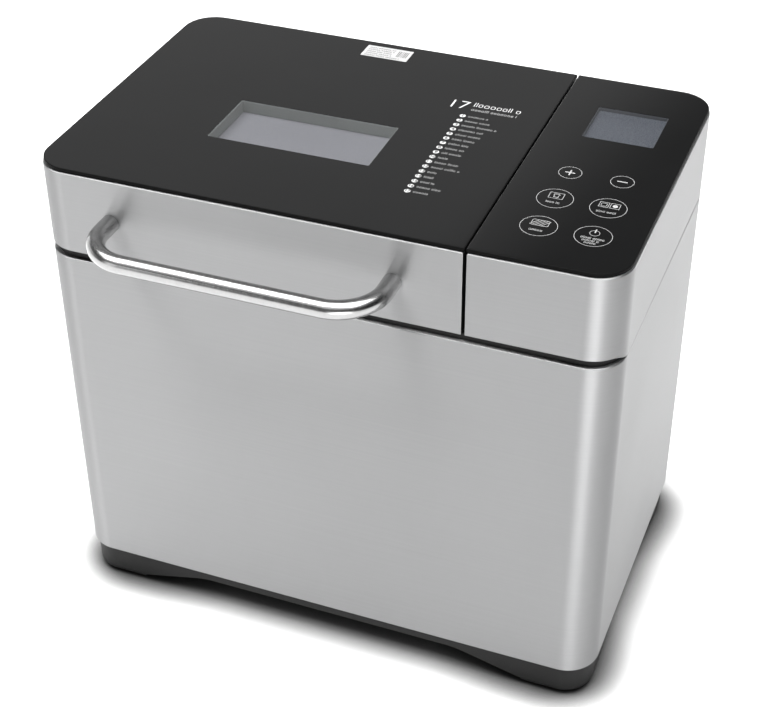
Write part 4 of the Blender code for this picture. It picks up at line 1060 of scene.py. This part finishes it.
def add_softbox(name, place, target, width, height, power, spread):
    data = bpy.data.lights.new(name, "AREA")
    data.shape = "RECTANGLE"
    data.size, data.size_y, data.energy = width, height, power
    data.spread = math.radians(spread)
    light = bpy.data.objects.new(name, data)
    light.location = place
    light.rotation_euler = (Vector(target) - Vector(place)).to_track_quat("-Z", "Y").to_euler()
    light.visible_camera = False
    bpy.context.scene.collection.objects.link(light)


def make_world():
    """A pale studio: bright low down at the back, dim overhead and behind the camera."""
    world = bpy.data.worlds.new("studio")
    world.use_nodes = True
    tree = world.node_tree
    bpy.context.scene.world = world

    def work(operation, first, second):
        return add_node(tree, "ShaderNodeMath", {0: first, 1: second},
                        operation=operation).outputs[0]

    def mixed(factor, first, second):
        return add_node(tree, "ShaderNodeMix", {"Factor": factor, "A": first, "B": second},
                        data_type="RGBA").outputs["Result"]

    def ramp(source, stops):
        node = add_node(tree, "ShaderNodeValToRGB", {0: source})
        node.color_ramp.interpolation = "EASE"
        while len(node.color_ramp.elements) < len(stops):
            node.color_ramp.elements.new(0.5)
        for element, (position, level) in zip(node.color_ramp.elements, stops):
            element.position, element.color = position, (*grey(level, SKY_TINT), 1)
        return node.outputs[0]

    place = tree.nodes.new("ShaderNodeTexCoord").outputs["Generated"]
    x, y, z = add_node(tree, "ShaderNodeSeparateXYZ", {0: place}).outputs
    across = work("ADD", work("MULTIPLY", x, 0.5), 0.5)
    along = work("ADD", work("MULTIPLY", y, 0.5), 0.5)
    against = add_node(tree, "ShaderNodeVectorMath", {0: place, 1: SHADED_QUARTER},
                       operation="DOT_PRODUCT").outputs["Value"]
    shade = add_node(tree, "ShaderNodeMapRange", {
        "Value": against, "From Min": SHADE_START, "From Max": SHADE_END,
        "To Min": SHADE_LEVEL}, interpolation_type="SMOOTHSTEP").outputs[0]
    rear = work("MULTIPLY", work("MULTIPLY", ramp(z, REAR_SKY), ramp(across, LEFT_FLAG)), shade)
    sky = mixed(ramp(along, FRONT_TO_REAR), ramp(z, FRONT_SKY), rear)
    sky = work("MULTIPLY", sky, ramp(x, RIGHT_FLAG))
    seen = tree.nodes.new("ShaderNodeLightPath").outputs["Is Camera Ray"]
    tree.links.new(mixed(seen, sky, (*grey(BACKDROP), 1)), tree.nodes["Background"].inputs["Color"])


def make_studio():
    make_floor()
    make_camera()
    make_world()
    for light in LIGHTS:
        add_softbox(*light)
    bpy.context.scene.view_settings.view_transform = "Standard"


def build():
    dress_frame()
    make_shell()
    make_deck()
    make_base()
    make_bands()
    beyond = GLASS_INSET + LIP + OVERHANG
    make_glass("lid_top", widened(LID_PLAN, 0, beyond), WINDOW_PLAN, "lid", WINDOW_GLASS,
               "lid_glass")
    make_glass("panel_top", widened(PANEL_PLAN, beyond, 0), VIEW_PLAN, "casing", DISPLAY_GLASS,
               "panel_glass")
    make_window()
    make_display()
    make_handle()
    make_programme_list()
    make_touch_marks()
    make_label()
    make_oven()
    make_heater()
    make_lid_liner()
    make_pan()
    make_bail()
    make_paddle()
    make_studio()


build()
